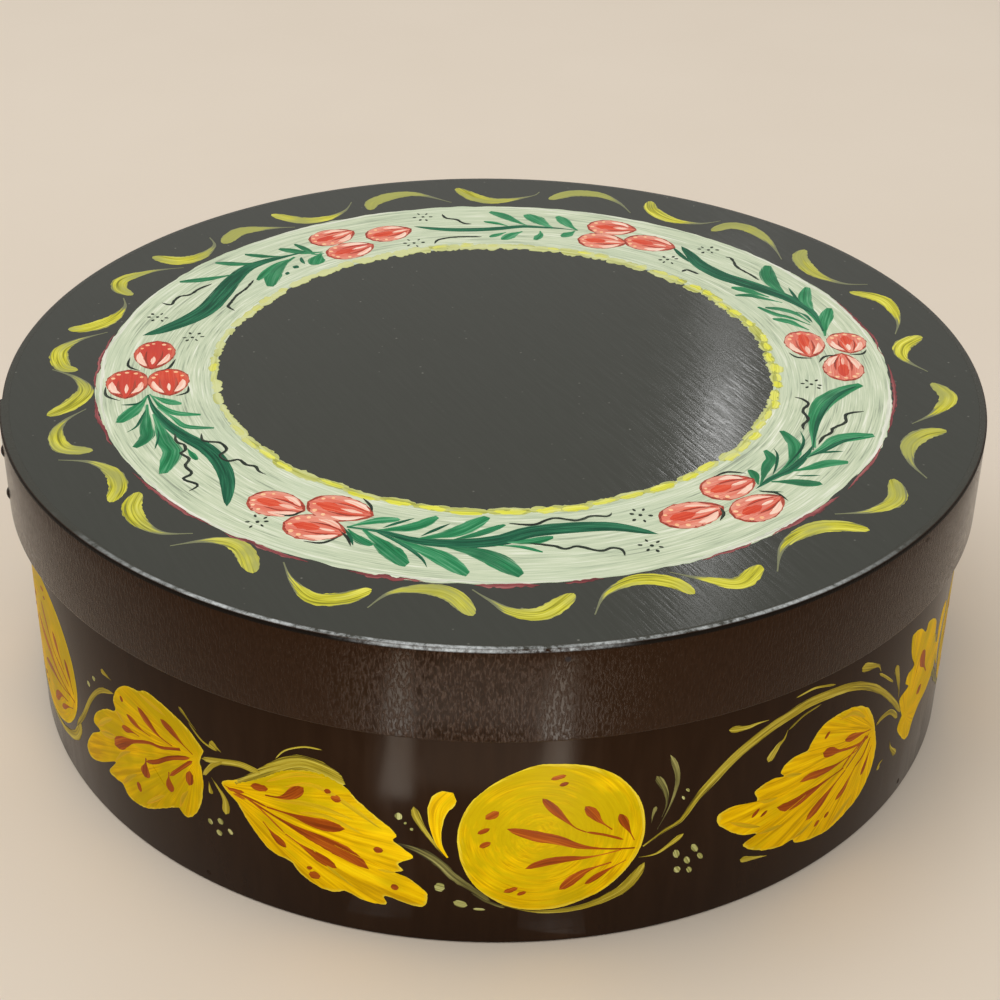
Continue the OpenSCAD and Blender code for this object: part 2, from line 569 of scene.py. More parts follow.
def vein(u):
    """A thin line that swells into a long drop."""
    if u > 0.74:
        return round_end(u, 0.74) ** 1.3
    return 0.14 + 0.86 * ease((u - 0.2) / 0.54)


def tadpole(u):
    """A thin line that ends in a round drop."""
    if u > 0.86:
        return round_end(u, 0.86)
    return 0.22 + 0.1 * u + 0.68 * ease((u - 0.62) / 0.24)


def egg(u):
    """A berry, round at its head and blunt at its tip."""
    if u < 0.44:
        return math.sqrt(max(0.0, 1.0 - ((0.44 - u) / 0.44) ** 2))
    return max(0.0, math.cos(math.pi / 2 * (u - 0.44) / 0.56)) ** 0.62


def orb(u):
    """A round dot."""
    return math.sqrt(max(0.0, 1.0 - (2.0 * u - 1.0) ** 2))


def on_lid(x, y, lift):
    """A place on the lid's top, with its height above the board."""
    return Vector((x * MM, y * MM, (LID_FACE + lift) * MM))


def on_side(s, z, lift):
    """A place on the box's side: the way along it from +X, its height, and how far it stands out."""
    turn = math.degrees(s / BOX_R)
    reach = (lap_reach(BOX_R, BOX_LAP_RISE, turn - BOX_LAP_AT) + lift) * MM
    angle = math.radians(turn)
    return Vector((reach * math.cos(angle), reach * math.sin(angle), z * MM))


def round_side(points, turn=0.0):
    """Places read as an angle and a height, made ways along the side."""
    return [(math.radians(a + turn) * BOX_R, z) for a, z in points]


def smooth_line(points, count):
    """Even steps along a smooth line through the points, the left-hand side at each step, and the length."""
    knots = [Vector((*p, 0.0)) for p in points]
    dense = []
    for i in range(len(knots) - 1):
        before = knots[max(i - 1, 0)]
        after = knots[min(i + 2, len(knots) - 1)]
        first = knots[i] + (knots[i + 1] - before) / 6
        second = knots[i + 1] - (after - knots[i]) / 6
        piece = interpolate_bezier(knots[i], first, second, knots[i + 1], LINE_STEPS)
        dense.extend(piece if i == 0 else piece[1:])
    reach = [0.0]
    for a, b in zip(dense, dense[1:]):
        reach.append(reach[-1] + (b - a).length)
    steps = []
    at = 0
    for k in range(count + 1):
        want = reach[-1] * k / count
        while at < len(dense) - 2 and reach[at + 1] < want:
            at += 1
        part = (want - reach[at]) / max(reach[at + 1] - reach[at], 1e-9)
        steps.append(dense[at].lerp(dense[at + 1], min(max(part, 0.0), 1.0)).xy)
    sides = []
    for k in range(count + 1):
        way = (steps[min(k + 1, count)] - steps[max(k - 1, 0)]).normalized()
        sides.append(Vector((-way.y, way.x)))
    return steps, sides, reach[-1]


brushes = {}


def fresh_dab(steps, hairs):
    """A flat grid for one brush stroke, modelled once for each size and copied."""
    if (steps, hairs) not in brushes:
        alone()
        bpy.ops.mesh.primitive_grid_add(x_subdivisions=steps, y_subdivisions=hairs, size=1.0)
        model = bpy.context.object
        brushes[steps, hairs] = model.data.copy()
        bpy.data.objects.remove(model)
    dab = bpy.data.objects.new("dab", brushes[steps, hairs].copy())
    bpy.context.scene.collection.objects.link(dab)
    return dab


def mark_dab(dab, hairs, film):
    """Keeps the way along and across the stroke for its paint."""
    for name, values in (("hairs", hairs), ("film", film)):
        kept = dab.data.attributes.new(name, "FLOAT_VECTOR", "POINT")
        for row, value in zip(kept.data, values):
            row.vector = value


def stroke(place, points, width, swell, lift, size=(18, 5), ragged=0.05, slant=0.0, tint=0.0):
    """One brush stroke along a line, domed and a little uneven at its edges."""
    dab = fresh_dab(*size)
    steps, sides, length = smooth_line(points, size[0])
    seed = draw.uniform(0.0, SEED_SPAN)
    hairs = []
    film = []
    for vertex in dab.data.vertices:
        u = min(max(vertex.co.x + 0.5, 0.0), 1.0)
        across = 2.0 * vertex.co.y
        k = round(u * size[0])
        edge = Vector((u * length * EDGE_STEP, math.copysign(EDGE_APART, across), seed))
        uneven = 1.0 + ragged * noise.noise(edge)
        half = width / 2 * swell(u) * uneven
        way = Vector((sides[k].y, -sides[k].x))
        spot = steps[k] + sides[k] * across * half + way * (slant * across * half * ease(2.0 * u - 1.0))
        vertex.co = place(spot.x, spot.y, lift * (1.0 - DOME * across * across))
        film.append((u, abs(across), tint))
        hairs.append((u * length + seed, across * half, seed))
    mark_dab(dab, hairs, film)
    return dab


FAN_SIZE = (7, 230)
FAN_HAIRS = 16.0
FAN_BUNCH = 1.7
FAN_DOME = 6
FAN_THIN = 7
WHIRL_RUN = 30.0
WHIRL_SEED = 2.0


def fan(place, outline, middle, root, olive, lift, fray, whirled=False):
    """A shape filled to its outline, brushed out from a root or round it, and more olive higher up."""
    rings, edges = FAN_SIZE
    dab = fresh_dab(rings, edges)
    rim = smooth_line(outline + outline[:1], edges)[0]
    middle = Vector(middle)
    root = Vector(root)
    ahead = middle - root
    seed = draw.uniform(0.0, SEED_SPAN)
    for k, spot in enumerate(rim):
        rough = noise.noise(Vector((0.35 * k, seed, 0.0))) + 0.7 * noise.noise(Vector((1.1 * k, seed, 5.0)))
        spot += (spot - middle).normalized() * fray * rough
    hairs = []
    film = []
    for vertex in dab.data.vertices:
        u = min(max(vertex.co.x + 0.5, 0.0), 1.0)
        u = 1.0 - (1.0 - u) ** FAN_BUNCH
        spot = middle.lerp(rim[round((vertex.co.y + 0.5) * edges) % edges], u)
        vertex.co = place(spot.x, spot.y, lift * (1.0 - DOME * u ** FAN_DOME))
        film.append((1.0, u ** FAN_THIN, ease((spot.y - olive[0]) / (olive[1] - olive[0]))))
        spoke = spot - root
        turn = math.atan2(spoke.y, spoke.x)
        if whirled:
            hairs.append((WHIRL_RUN * math.cos(turn), spoke.length, seed + WHIRL_SEED * math.sin(turn)))
        else:
            swing = spoke.angle_signed(ahead, 0.0) if spoke.length > 0.01 else 0.0
            hairs.append((spoke.length + seed, FAN_HAIRS * swing, seed))
    mark_dab(dab, hairs, film)
    return dab


def dot(place, spot, width, lift, length=None, way=(1.0, 0.0)):
    """A dab of the brush's tip."""
    half = (length or width) / 2
    x, y = spot
    ends = [(x - way[0] * half, y - way[1] * half), (x + way[0] * half, y + way[1] * half)]
    return stroke(place, ends, width, orb, lift, size=(6, 4), ragged=0.08)


def paint_layer(name, dabs, finish, body, finish_slot, depth):
    """Joins strokes into one closed film of paint, as thick as it stands high, that sinks in a little."""
    alone()
    for dab in dabs:
        dab.select_set(True)
    bpy.context.view_layer.objects.active = dabs[0]
    bpy.ops.object.join()
    layer = bpy.context.object
    layer.name = name
    layer.data.name = name
    edit(layer)
    bpy.ops.mesh.remove_doubles(threshold=FILM_MERGE)
    done()
    thick = layer.modifiers.new("film", "SOLIDIFY")
    thick.thickness = (depth + FILM_SINK) * MM
    thick.offset = -1.0
    only(layer)
    bpy.ops.object.modifier_apply(modifier=thick.name)
    bpy.ops.object.shade_smooth_by_angle(angle=FILM_SMOOTH)
    layer.data.materials.clear()
    layer.data.materials.append(finish)
    seat(layer, body, finish_slot)


# Finishes

CLEAR_VARNISH = (1.0, 1.0, 1.0, 1.0)
# Warm tint on the side and rim paints' reflections: a painted reflection of a warm floor
WARM_REFLECTION_TINT = (1.0, 0.66, 0.44, 1.0)
# Grey of the lid's black paint, partly a painted reflection of the room over it
LID_BLACK = tone(62, 63, 57)
DUST = tone(150, 148, 138)
EDGE_PAINTED_SHADE = tone(10, 9, 8)
EDGE_WEAR_AND_HIGHLIGHT = tone(196, 200, 200)
# Grain colours of the rim's front patch: part wear, part painted glare
WORN_GLARE_DARK = tone(20, 11, 5)
WORN_GLARE_LIGHT = tone(86, 68, 57)
WORN_GLARE_AT = 0.05
# Warm brown-black of the side's paint, shown under thin stems: a painted reflection of a warm floor in the
# black
SIDE_BLACK = tone(44, 34, 20)
RING_WHITE = tone(196, 210, 176)
GOLD = tone(214, 158, 12)
TAIL_GREY = tone(124, 126, 96)

# The lid's black is given as a grey, partly a painted reflection of the room, even from front to back
lid_paint = black_paint(
    "lid_black", tone(61, 62, 56), tone(63, 64, 58), (900.0, 80.0, 80.0), (0.0, 0.0, -0.5),
    dust=0.5, gloss=(0.1, 0.13), combed=0.045, pores=(0.0, 1.0), ridge=0.8,
    shine=0.12, reflection_tint=CLEAR_VARNISH,
)
# The rim's and side's black is given as a warm brown-black: a painted reflection of a warm floor
rim_paint = black_paint(
    "rim_black", tone(36, 20, 9), tone(44, 26, 14), (2000.0, 2000.0, 620.0), UNTURNED,
    dust=0.0, gloss=(0.13, 0.18), combed=0.03, pores=(0.46, 0.66), ridge=1.0,
    shine=0.1, reflection_tint=WARM_REFLECTION_TINT, worn_and_lit_rim=True,
)
side_paint = black_paint(
    "side_black", tone(34, 19, 9), tone(40, 24, 13), (300.0, 300.0, 50.0), UNTURNED,
    dust=0.0, gloss=(0.15, 0.2), combed=0.03, pores=(0.0, 1.0), ridge=0.3,
    shine=0.08, reflection_tint=WARM_REFLECTION_TINT,
)
board_wood = bare_wood("board_wood", (9.0, 150.0, 60.0), (0.0, 0.0, 0.1))
band_wood = bare_wood("band_wood", (10.0, 10.0, 210.0), UNTURNED)
ring_white = ring_paint("ring_white")
border_yellow = brush_paint(
    "border_yellow", tone(128, 126, 34), tone(206, 200, 56), tone(240, 234, 106), TAIL_GREY,
    cover=(0.0, 0.3), tail=1.3, edge=0.6, cloud=tone(158, 160, 92),
)
scallop_yellow = brush_paint(
    "scallop_yellow", tone(202, 200, 56), tone(228, 226, 78), tone(242, 240, 130), tone(196, 196, 112),
    cover=(0.0, 0.4), tail=0.1, edge=0.8, cloud=tone(206, 208, 142),
)
scallop_olive = brush_paint(
    "scallop_olive", tone(152, 154, 64), tone(186, 188, 92), tone(214, 216, 140), tone(188, 192, 130),
    cover=(0.0, 0.4), tail=0.1, edge=0.8, cloud=tone(212, 216, 160),
)
edge_white = brush_paint(
    "edge_white", tone(192, 196, 178), tone(220, 222, 204), tone(238, 236, 224), RING_WHITE,
    cover=(0.1, 0.45), tail=0.2, edge=0.6,
)
leaf_green = brush_paint(
    "leaf_green", tone(24, 104, 62), tone(44, 136, 86), tone(104, 172, 128), tone(150, 186, 150),
    cover=(0.0, 0.3), tail=0.25, edge=0.5, cloud=tone(26, 92, 60),
)
leaf_dark = brush_paint(
    "leaf_dark", tone(14, 66, 46), tone(26, 92, 64), tone(58, 132, 94), tone(110, 160, 124),
    cover=(-0.1, 0.2), tail=0.15, edge=0.5,
)
berry_red = brush_paint(
    "berry_red", tone(200, 58, 36), tone(220, 80, 52), tone(238, 116, 86), tone(212, 108, 86),
    hair=0.35, cover=(0.0, 0.45), tail=0.0, edge=0.75, cloud=tone(196, 66, 56),
)
berry_pink = brush_paint(
    "berry_pink", tone(212, 96, 78), tone(228, 126, 104), tone(244, 178, 156), tone(228, 156, 134),
    hair=0.35, cover=(0.0, 0.45), tail=0.0, edge=0.75, cloud=tone(212, 94, 80),
)
berry_shade = brush_paint(
    "berry_shade", tone(132, 46, 36), tone(164, 68, 52), tone(192, 96, 78), tone(214, 140, 114),
    cover=(-0.1, 0.25), tail=0.0,
)
berry_light = brush_paint(
    "berry_light", tone(240, 170, 148), tone(248, 206, 184), tone(253, 228, 210), tone(224, 104, 80),
    cover=(0.0, 0.35), tail=0.2, edge=0.5,
)
dot_cream = brush_paint(
    "dot_cream", tone(246, 176, 128), tone(250, 196, 150), tone(254, 220, 184), tone(226, 110, 84),
    cover=(-0.4, 0.1), tail=0.0,
)
mark_black = brush_paint(
    "mark_black", tone(28, 36, 30), tone(42, 50, 42), tone(70, 78, 64), RING_WHITE,
    cover=(-0.2, 0.1), tail=0.15,
)
edge_maroon = brush_paint(
    "edge_maroon", tone(106, 46, 50), tone(140, 70, 72), tone(176, 114, 110), LID_BLACK,
    cover=(0.1, 0.5), tail=0.1,
)
vine_gold = brush_paint(
    "vine_gold", tone(192, 146, 2), tone(230, 180, 2), tone(250, 208, 10), tone(222, 192, 50),
    hair=0.5, run=18.0, cover=(-0.1, 0.2), tail=0.0, edge=0.8, cloud=tone(180, 152, 4), shine=DULL_SHINE,
)
fold_olive = brush_paint(
    "fold_olive", tone(170, 140, 8), tone(194, 158, 8), tone(212, 174, 12), GOLD,
    cover=(0.1, 0.5), tail=0.3, edge=0.8,
)
vein_brown = brush_paint(
    "vein_brown", tone(122, 50, 2), tone(152, 66, 4), tone(184, 98, 18), GOLD,
    cover=(-0.2, 0.15), tail=0.15,
)
stem_olive = brush_paint(
    "stem_olive", tone(112, 98, 22), tone(162, 140, 30), tone(204, 186, 80), SIDE_BLACK,
    hair=0.3, cover=(0.05, 0.4), tail=0.35, edge=0.4,
)
stem_dim = brush_paint(
    "stem_dim", tone(66, 60, 30), tone(106, 98, 50), tone(158, 148, 88), SIDE_BLACK,
    hair=0.3, cover=(0.05, 0.5), tail=0.4, edge=0.5,
)
dot_pale = brush_paint(
    "dot_pale", tone(116, 112, 56), tone(162, 158, 90), tone(206, 200, 142), tone(76, 70, 36),
    hair=0.3, cover=(0.0, 0.4), tail=0.0, edge=0.5,
)
tack_black = painted_head("tack_black", tone(24, 16, 11), tone(62, 44, 30))
brad_brown = painted_head("brad_brown", tone(35, 20, 10), tone(43, 26, 14))

# Bands and boards

box_band = bent_band("box_side_band", BOX_R, BOX_BAND_T, 0.0, BOX_H, BOX_LAP_RISE, BOX_LAP_AT)
box_band.data.materials.append(side_paint)
wood_inside(box_band, band_wood, True, BOX_H)
seat(box_band, "box", "black_paint", "box_band")

LID_UNDER = LID_TOP - LID_T
lid_band = bent_band("lid_rim_band", LID_R, LID_BAND_T, RIM_LOW, LID_FACE, LID_LAP_RISE, LID_LAP_AT,
                     LID_UNDER)
lid_band.data.materials.append(rim_paint)
wood_inside(lid_band, band_wood, False, LID_UNDER)
seat(lid_band, "lid", "black_paint", "lid_band")

base_board = round_board("box_base_board", BOX_R - BOX_BAND_T - FIT_GAP, 0.0, BASE_T, BOARD_EASE)
base_board.data.materials.append(board_wood)
seat(base_board, "box", "bare_wood", "base_board")

lid_board = round_board("lid_top_board", LID_IN_R - SEAM_GAP, LID_UNDER, LID_FACE, LID_BOARD_EASE)
lid_board.data.materials.append(lid_paint)
lid_board.data.materials.append(board_wood)
for face in lid_board.data.polygons:
    face.material_index = 1 if face.normal.z < DOWNWARD else 0
seat(lid_board, "lid", "black_paint", "lid_board")

for node, finish in (("box_lap_tacks", tack_black), ("lid_lap_tacks", tack_black),
                     ("base_brads", brad_brown), ("lid_brads", brad_brown)):
    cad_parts[node].data.materials.clear()
    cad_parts[node].data.materials.append(finish)

# Pale ring on the lid

RING_MID = (0.0, 1.0)
RING_OUT = 105.5
RING_IN = 74.6
RING_LIFT = 0.04
RING_CUTS = (0.9, 0.8, RING_IN / RING_OUT)
RING_SIDES = 360
# The reach that parts the ring's inner half from its outer half
RING_HALF = 90.0
# How far an edge sways, how often, and a seed
OUTER_SWAY = ((0.9, 3.0, 4.0), (0.5, 22.0, 9.0))
INNER_SWAY = ((0.6, 9.0, 2.0),)


def ring_of_paint():
    """A circle drawn inwards into a flat ring, with edges as a hand draws them."""
    alone()
    bpy.ops.mesh.primitive_circle_add(vertices=RING_SIDES, radius=RING_OUT, location=(*RING_MID, 0.0))
    ring = bpy.context.object
    bpy.ops.object.transform_apply(location=True, rotation=True, scale=True)
    edit(ring)
    now = 1.0
    for share in RING_CUTS:
        bpy.ops.mesh.extrude_edges_move()
        bpy.ops.transform.resize(value=(share / now, share / now, 1.0), center_override=(*RING_MID, 0.0))
        now = share
    done()
    for vertex in ring.data.vertices:
        out = Vector((vertex.co.x - RING_MID[0], vertex.co.y - RING_MID[1]))
        turn = out.normalized()
        sway = 0.0
        for far, often, seed in INNER_SWAY if out.length < RING_HALF else OUTER_SWAY:
            sway += far * noise.noise(Vector((turn.x * often, turn.y * often, seed)))
        spot = turn * (out.length + sway)
        vertex.co = on_lid(RING_MID[0] + spot.x, RING_MID[1] + spot.y, RING_LIFT)
    edit(ring)
    bpy.ops.mesh.normals_make_consistent(inside=False)
    done()
    if ring.data.polygons[0].normal.z < 0.0:
        edit(ring)
        bpy.ops.mesh.flip_normals()
        done()
    return ring


def round_ring(turn, reach):
    """A place on the lid at a turn in degrees round the ring's middle."""
    angle = math.radians(turn)
    return RING_MID[0] + reach * math.cos(angle), RING_MID[1] + reach * math.sin(angle)


ring = ring_of_paint()
ring_points = len(ring.data.vertices)
mark_dab(ring, [(0.0, 0.0, 0.0)] * ring_points, [(1.0, 0.0, 0.0)] * ring_points)
paint_layer("lid_pale_ring", [ring], ring_white, "lid", "white_paint", RING_LIFT)

# Yellow comma strokes round the lid's edge, each from its tail to its head

BORDER_STROKES = [
    [(12.9, 118.6), (10.3, 115.2), (0, 111), (-7, 113), (-13.6, 120.8)],
    [(-14.9, 109.2), (-25.7, 115.2), (-33.4, 113.9), (-39.4, 108.3), (-39.9, 102.3)],
    [(-46.3, 108.3), (-48, 101.4), (-53.2, 95.4), (-61, 93.7), (-70.4, 98)],
    [(-62.2, 88.5), (-71.3, 87.2), (-79, 84.2), (-82.5, 75.6)],
    [(-87.2, 79.9), (-85.1, 73.9), (-88.5, 66.1), (-94.5, 63.1), (-102.3, 65.7)],
    [(-92, 58.4), (-100.6, 55.8), (-108.3, 49.8), (-108.3, 43.7), (-104, 39.4)],
    [(-106.2, 37.7), (-104.9, 31.7), (-107.4, 23.9), (-112.6, 18.8), (-118.2, 17.5)],
    [(-107, 16.2), (-114.3, 11), (-117.8, 4.1), (-115.2, -4.3), (-110.9, -6)],
    [(-117.8, -6), (-110.9, -10.3), (-107, -17.2), (-109.2, -25), (-114.3, -31)],
    [(-104.9, -27.1), (-109.2, -33.6), (-110, -40.5), (-106.6, -47.4), (-99.3, -48.2)],
    [(-107, -53), (-98.8, -53.8), (-92.8, -58.5), (-90.2, -65.4), (-91.1, -72.3)],
    [(-69.4, -85.4), (-76.6, -85.4), (-82.2, -81.2), (-85.4, -74.6), (-84.8, -67.4)],
    [(-73.9, -90.8), (-64.4, -88.2), (-57.5, -91.3), (-53.6, -101.6)],
    [(-47.2, -96.9), (-44.6, -104.2), (-39.4, -111), (-32.5, -111), (-26.5, -107.2)],
    [(-27, -114.5), (-22.2, -108.5), (-14.5, -106.8), (-8.4, -109.3), (-3.7, -117)],
    [(-4.1, -106.8), (0, -111), (5.2, -115.4), (12, -115.4), (18.5, -107.6)],
    [(23, -115.8), (25.8, -107.6), (32.7, -102), (40.5, -102.5), (45.6, -107.2)],
    [(40.5, -98.6), (48.2, -101.2), (56, -102.5), (61.5, -95.1)],
    [(65, -97.7), (67.6, -87), (74.9, -79.6), (81.8, -77.9), (88.7, -79.6)],
    [(81.4, -72.7), (90.4, -71), (97.3, -65.4), (98.1, -56)],
    [(106.3, -55.5), (103.7, -48.2), (104.6, -39.6), (109.3, -33.6), (115.4, -31.4)],
    [(107.2, -28.4), (114.5, -22), (119.2, -13.8), (116.2, -6)],
    [(116.2, 0.3), (111, 7.6), (112, 15.3), (118, 21.4)],
    [(111, 22.2), (113.2, 31.7), (111, 43.7), (102, 48.9)],
    [(108, 54), (100.7, 54.5), (93.4, 61), (90.4, 71.3), (92.5, 77.7)],
    [(84.8, 70.4), (82.6, 82.5), (77.5, 92), (71.5, 94.5), (65.4, 90.2)],
    [(68.9, 98), (62, 95.8), (53.4, 98.4), (48.2, 105.7), (48.2, 112.6)],
    [(41.2, 103.1), (37.9, 110.9), (31.9, 116.9), (23.2, 117.8), (15.9, 112.6)],
]
BORDER_LIFT = 0.06
BRIGHT_STROKES = (13, 16, 17, 22, 23, 26)
DULL_STROKES = (1, 3, 25, 27)
DULL_TINT = 1.1
BORDER_TINT = (0.1, 0.6)
BORDER_W = (4.6, 5.6)
BORDER_SLANT = (-0.3, 0.3)
border = []
for k, line in enumerate(BORDER_STROKES):
    tint = 0.0 if k in BRIGHT_STROKES else draw.uniform(*BORDER_TINT)
    if k in DULL_STROKES:
        tint = DULL_TINT
    width = draw.uniform(*BORDER_W)
    slant = draw.uniform(*BORDER_SLANT)
    border.append(stroke(on_lid, line, width, sickle, BORDER_LIFT, (56, 8), 0.12, slant, tint))
paint_layer("lid_border_strokes", border, border_yellow, "lid", "yellow_paint", BORDER_LIFT)

# Dabs along the ring's inner edge, longest at the front: dull ones all round, which are broader at the
# back, and bright ones, of which there are more at the front and on the right

SCALLOP_LIFT = 0.06
BRIGHT_LIFT = 0.075
DAB_LENGTH = (3.0, 5.8)
DAB_SIZE = (10, 4)
FRONT_LENGTH = 4.2
DULL_W = (2.2, 3.6)
BRIGHT_W = (1.6, 2.8)
PLAIN_THINNER = 0.9
BACK_BROADER = 2.4
BACK_SHIFT = 0.7
FEWEST_BRIGHT = 0.2
MORE_BRIGHT = 0.75
dull = []
bright = []
turn = 0.0
while turn < 360.0:
    front = 0.5 - 0.5 * math.sin(math.radians(turn))
    right = 0.5 + 0.5 * math.cos(math.radians(turn))
    plain = 1.0 - max(front, right) ** 2
    back = max(0.0, math.sin(math.radians(turn))) ** 2
    length = draw.uniform(*DAB_LENGTH) + FRONT_LENGTH * front ** 4
    span = math.degrees(length / RING_IN)
    reach = RING_IN + draw.uniform(-0.3, 0.9) + BACK_SHIFT * back
    line = [round_ring(turn + span * part, reach + draw.uniform(-0.3, 0.4)) for part in (-0.62, 0.0, 0.62)]
    width = draw.uniform(*DULL_W) - PLAIN_THINNER * plain + BACK_BROADER * back
    slant = draw.uniform(-0.7, 0.7)
    dull.append(stroke(on_lid, line, width, pad, SCALLOP_LIFT, DAB_SIZE, 0.5, slant, plain))
    if draw.random() < FEWEST_BRIGHT + MORE_BRIGHT * max(front, right) ** 2:
        away = reach + draw.uniform(0.0, 0.6)
        line = [round_ring(turn + span * part, away + draw.uniform(-0.2, 0.3)) for part in (-0.4, 0.0, 0.45)]
        width = draw.uniform(*BRIGHT_W)
        slant = draw.uniform(-0.8, 0.8)
        bright.append(stroke(on_lid, line, width, pad, BRIGHT_LIFT, DAB_SIZE, 0.6, slant, plain))
    turn += span * draw.uniform(0.9, 1.15)
paint_layer("lid_inner_edge_line", dull, scallop_olive, "lid", "yellow_paint", SCALLOP_LIFT)
paint_layer("lid_inner_scallops", bright, scallop_yellow, "lid", "yellow_paint", BRIGHT_LIFT)

# Maroon and white lines along parts of the ring's outer edge

MAROON_RUNS = (
    (172, 190, 0.9), (192, 206, 1.2), (214, 232, 1.2), (234, 247, 1.6), (252, 262, 1.8), (268, 276, 2.2),
    (279, 284, 1.5), (297, 306, 0.9), (308, 322, 1.6), (324, 338, 0.9), (341, 362, 1.0), (364, 384, 0.9),
)
WHITE_RUNS = (
    (5, 48, 1.2), (60, 95, 0.9), (100, 138, 1.1), (150, 205, 1.3), (210, 242, 1.0), (250, 283, 1.2),
    (290, 320, 1.4), (328, 358, 1.6),
)
MAROON_LIFT = 0.055
WHITE_LIFT = 0.06
MAROON_R = RING_OUT + 0.4
WHITE_R = RING_OUT - 0.6
RUN_PARTS = 8
RUN_SWAY = 0.4


def edge_runs(runs, reach, lift):
    """Uneven lines along parts of the ring's outer edge."""
    made = []
    for start, end, width in runs:
        turns = [start + (end - start) * k / RUN_PARTS for k in range(RUN_PARTS + 1)]
        line = [round_ring(turn, reach + draw.uniform(-RUN_SWAY, RUN_SWAY)) for turn in turns]
        made.append(stroke(on_lid, line, width, lens, lift, (40, 3), 0.9))
    return made


maroon = edge_runs(MAROON_RUNS, MAROON_R, MAROON_LIFT)
paint_layer("lid_ring_edge_line", maroon, edge_maroon, "lid", "red_paint", MAROON_LIFT)
white = edge_runs(WHITE_RUNS, WHITE_R, WHITE_LIFT)
paint_layer("lid_ring_pale_edge", white, edge_white, "lid", "white_paint", WHITE_LIFT)

# Leaf sprays on the ring: leaflets from their root to their tip, then the long dark blades and thin strokes

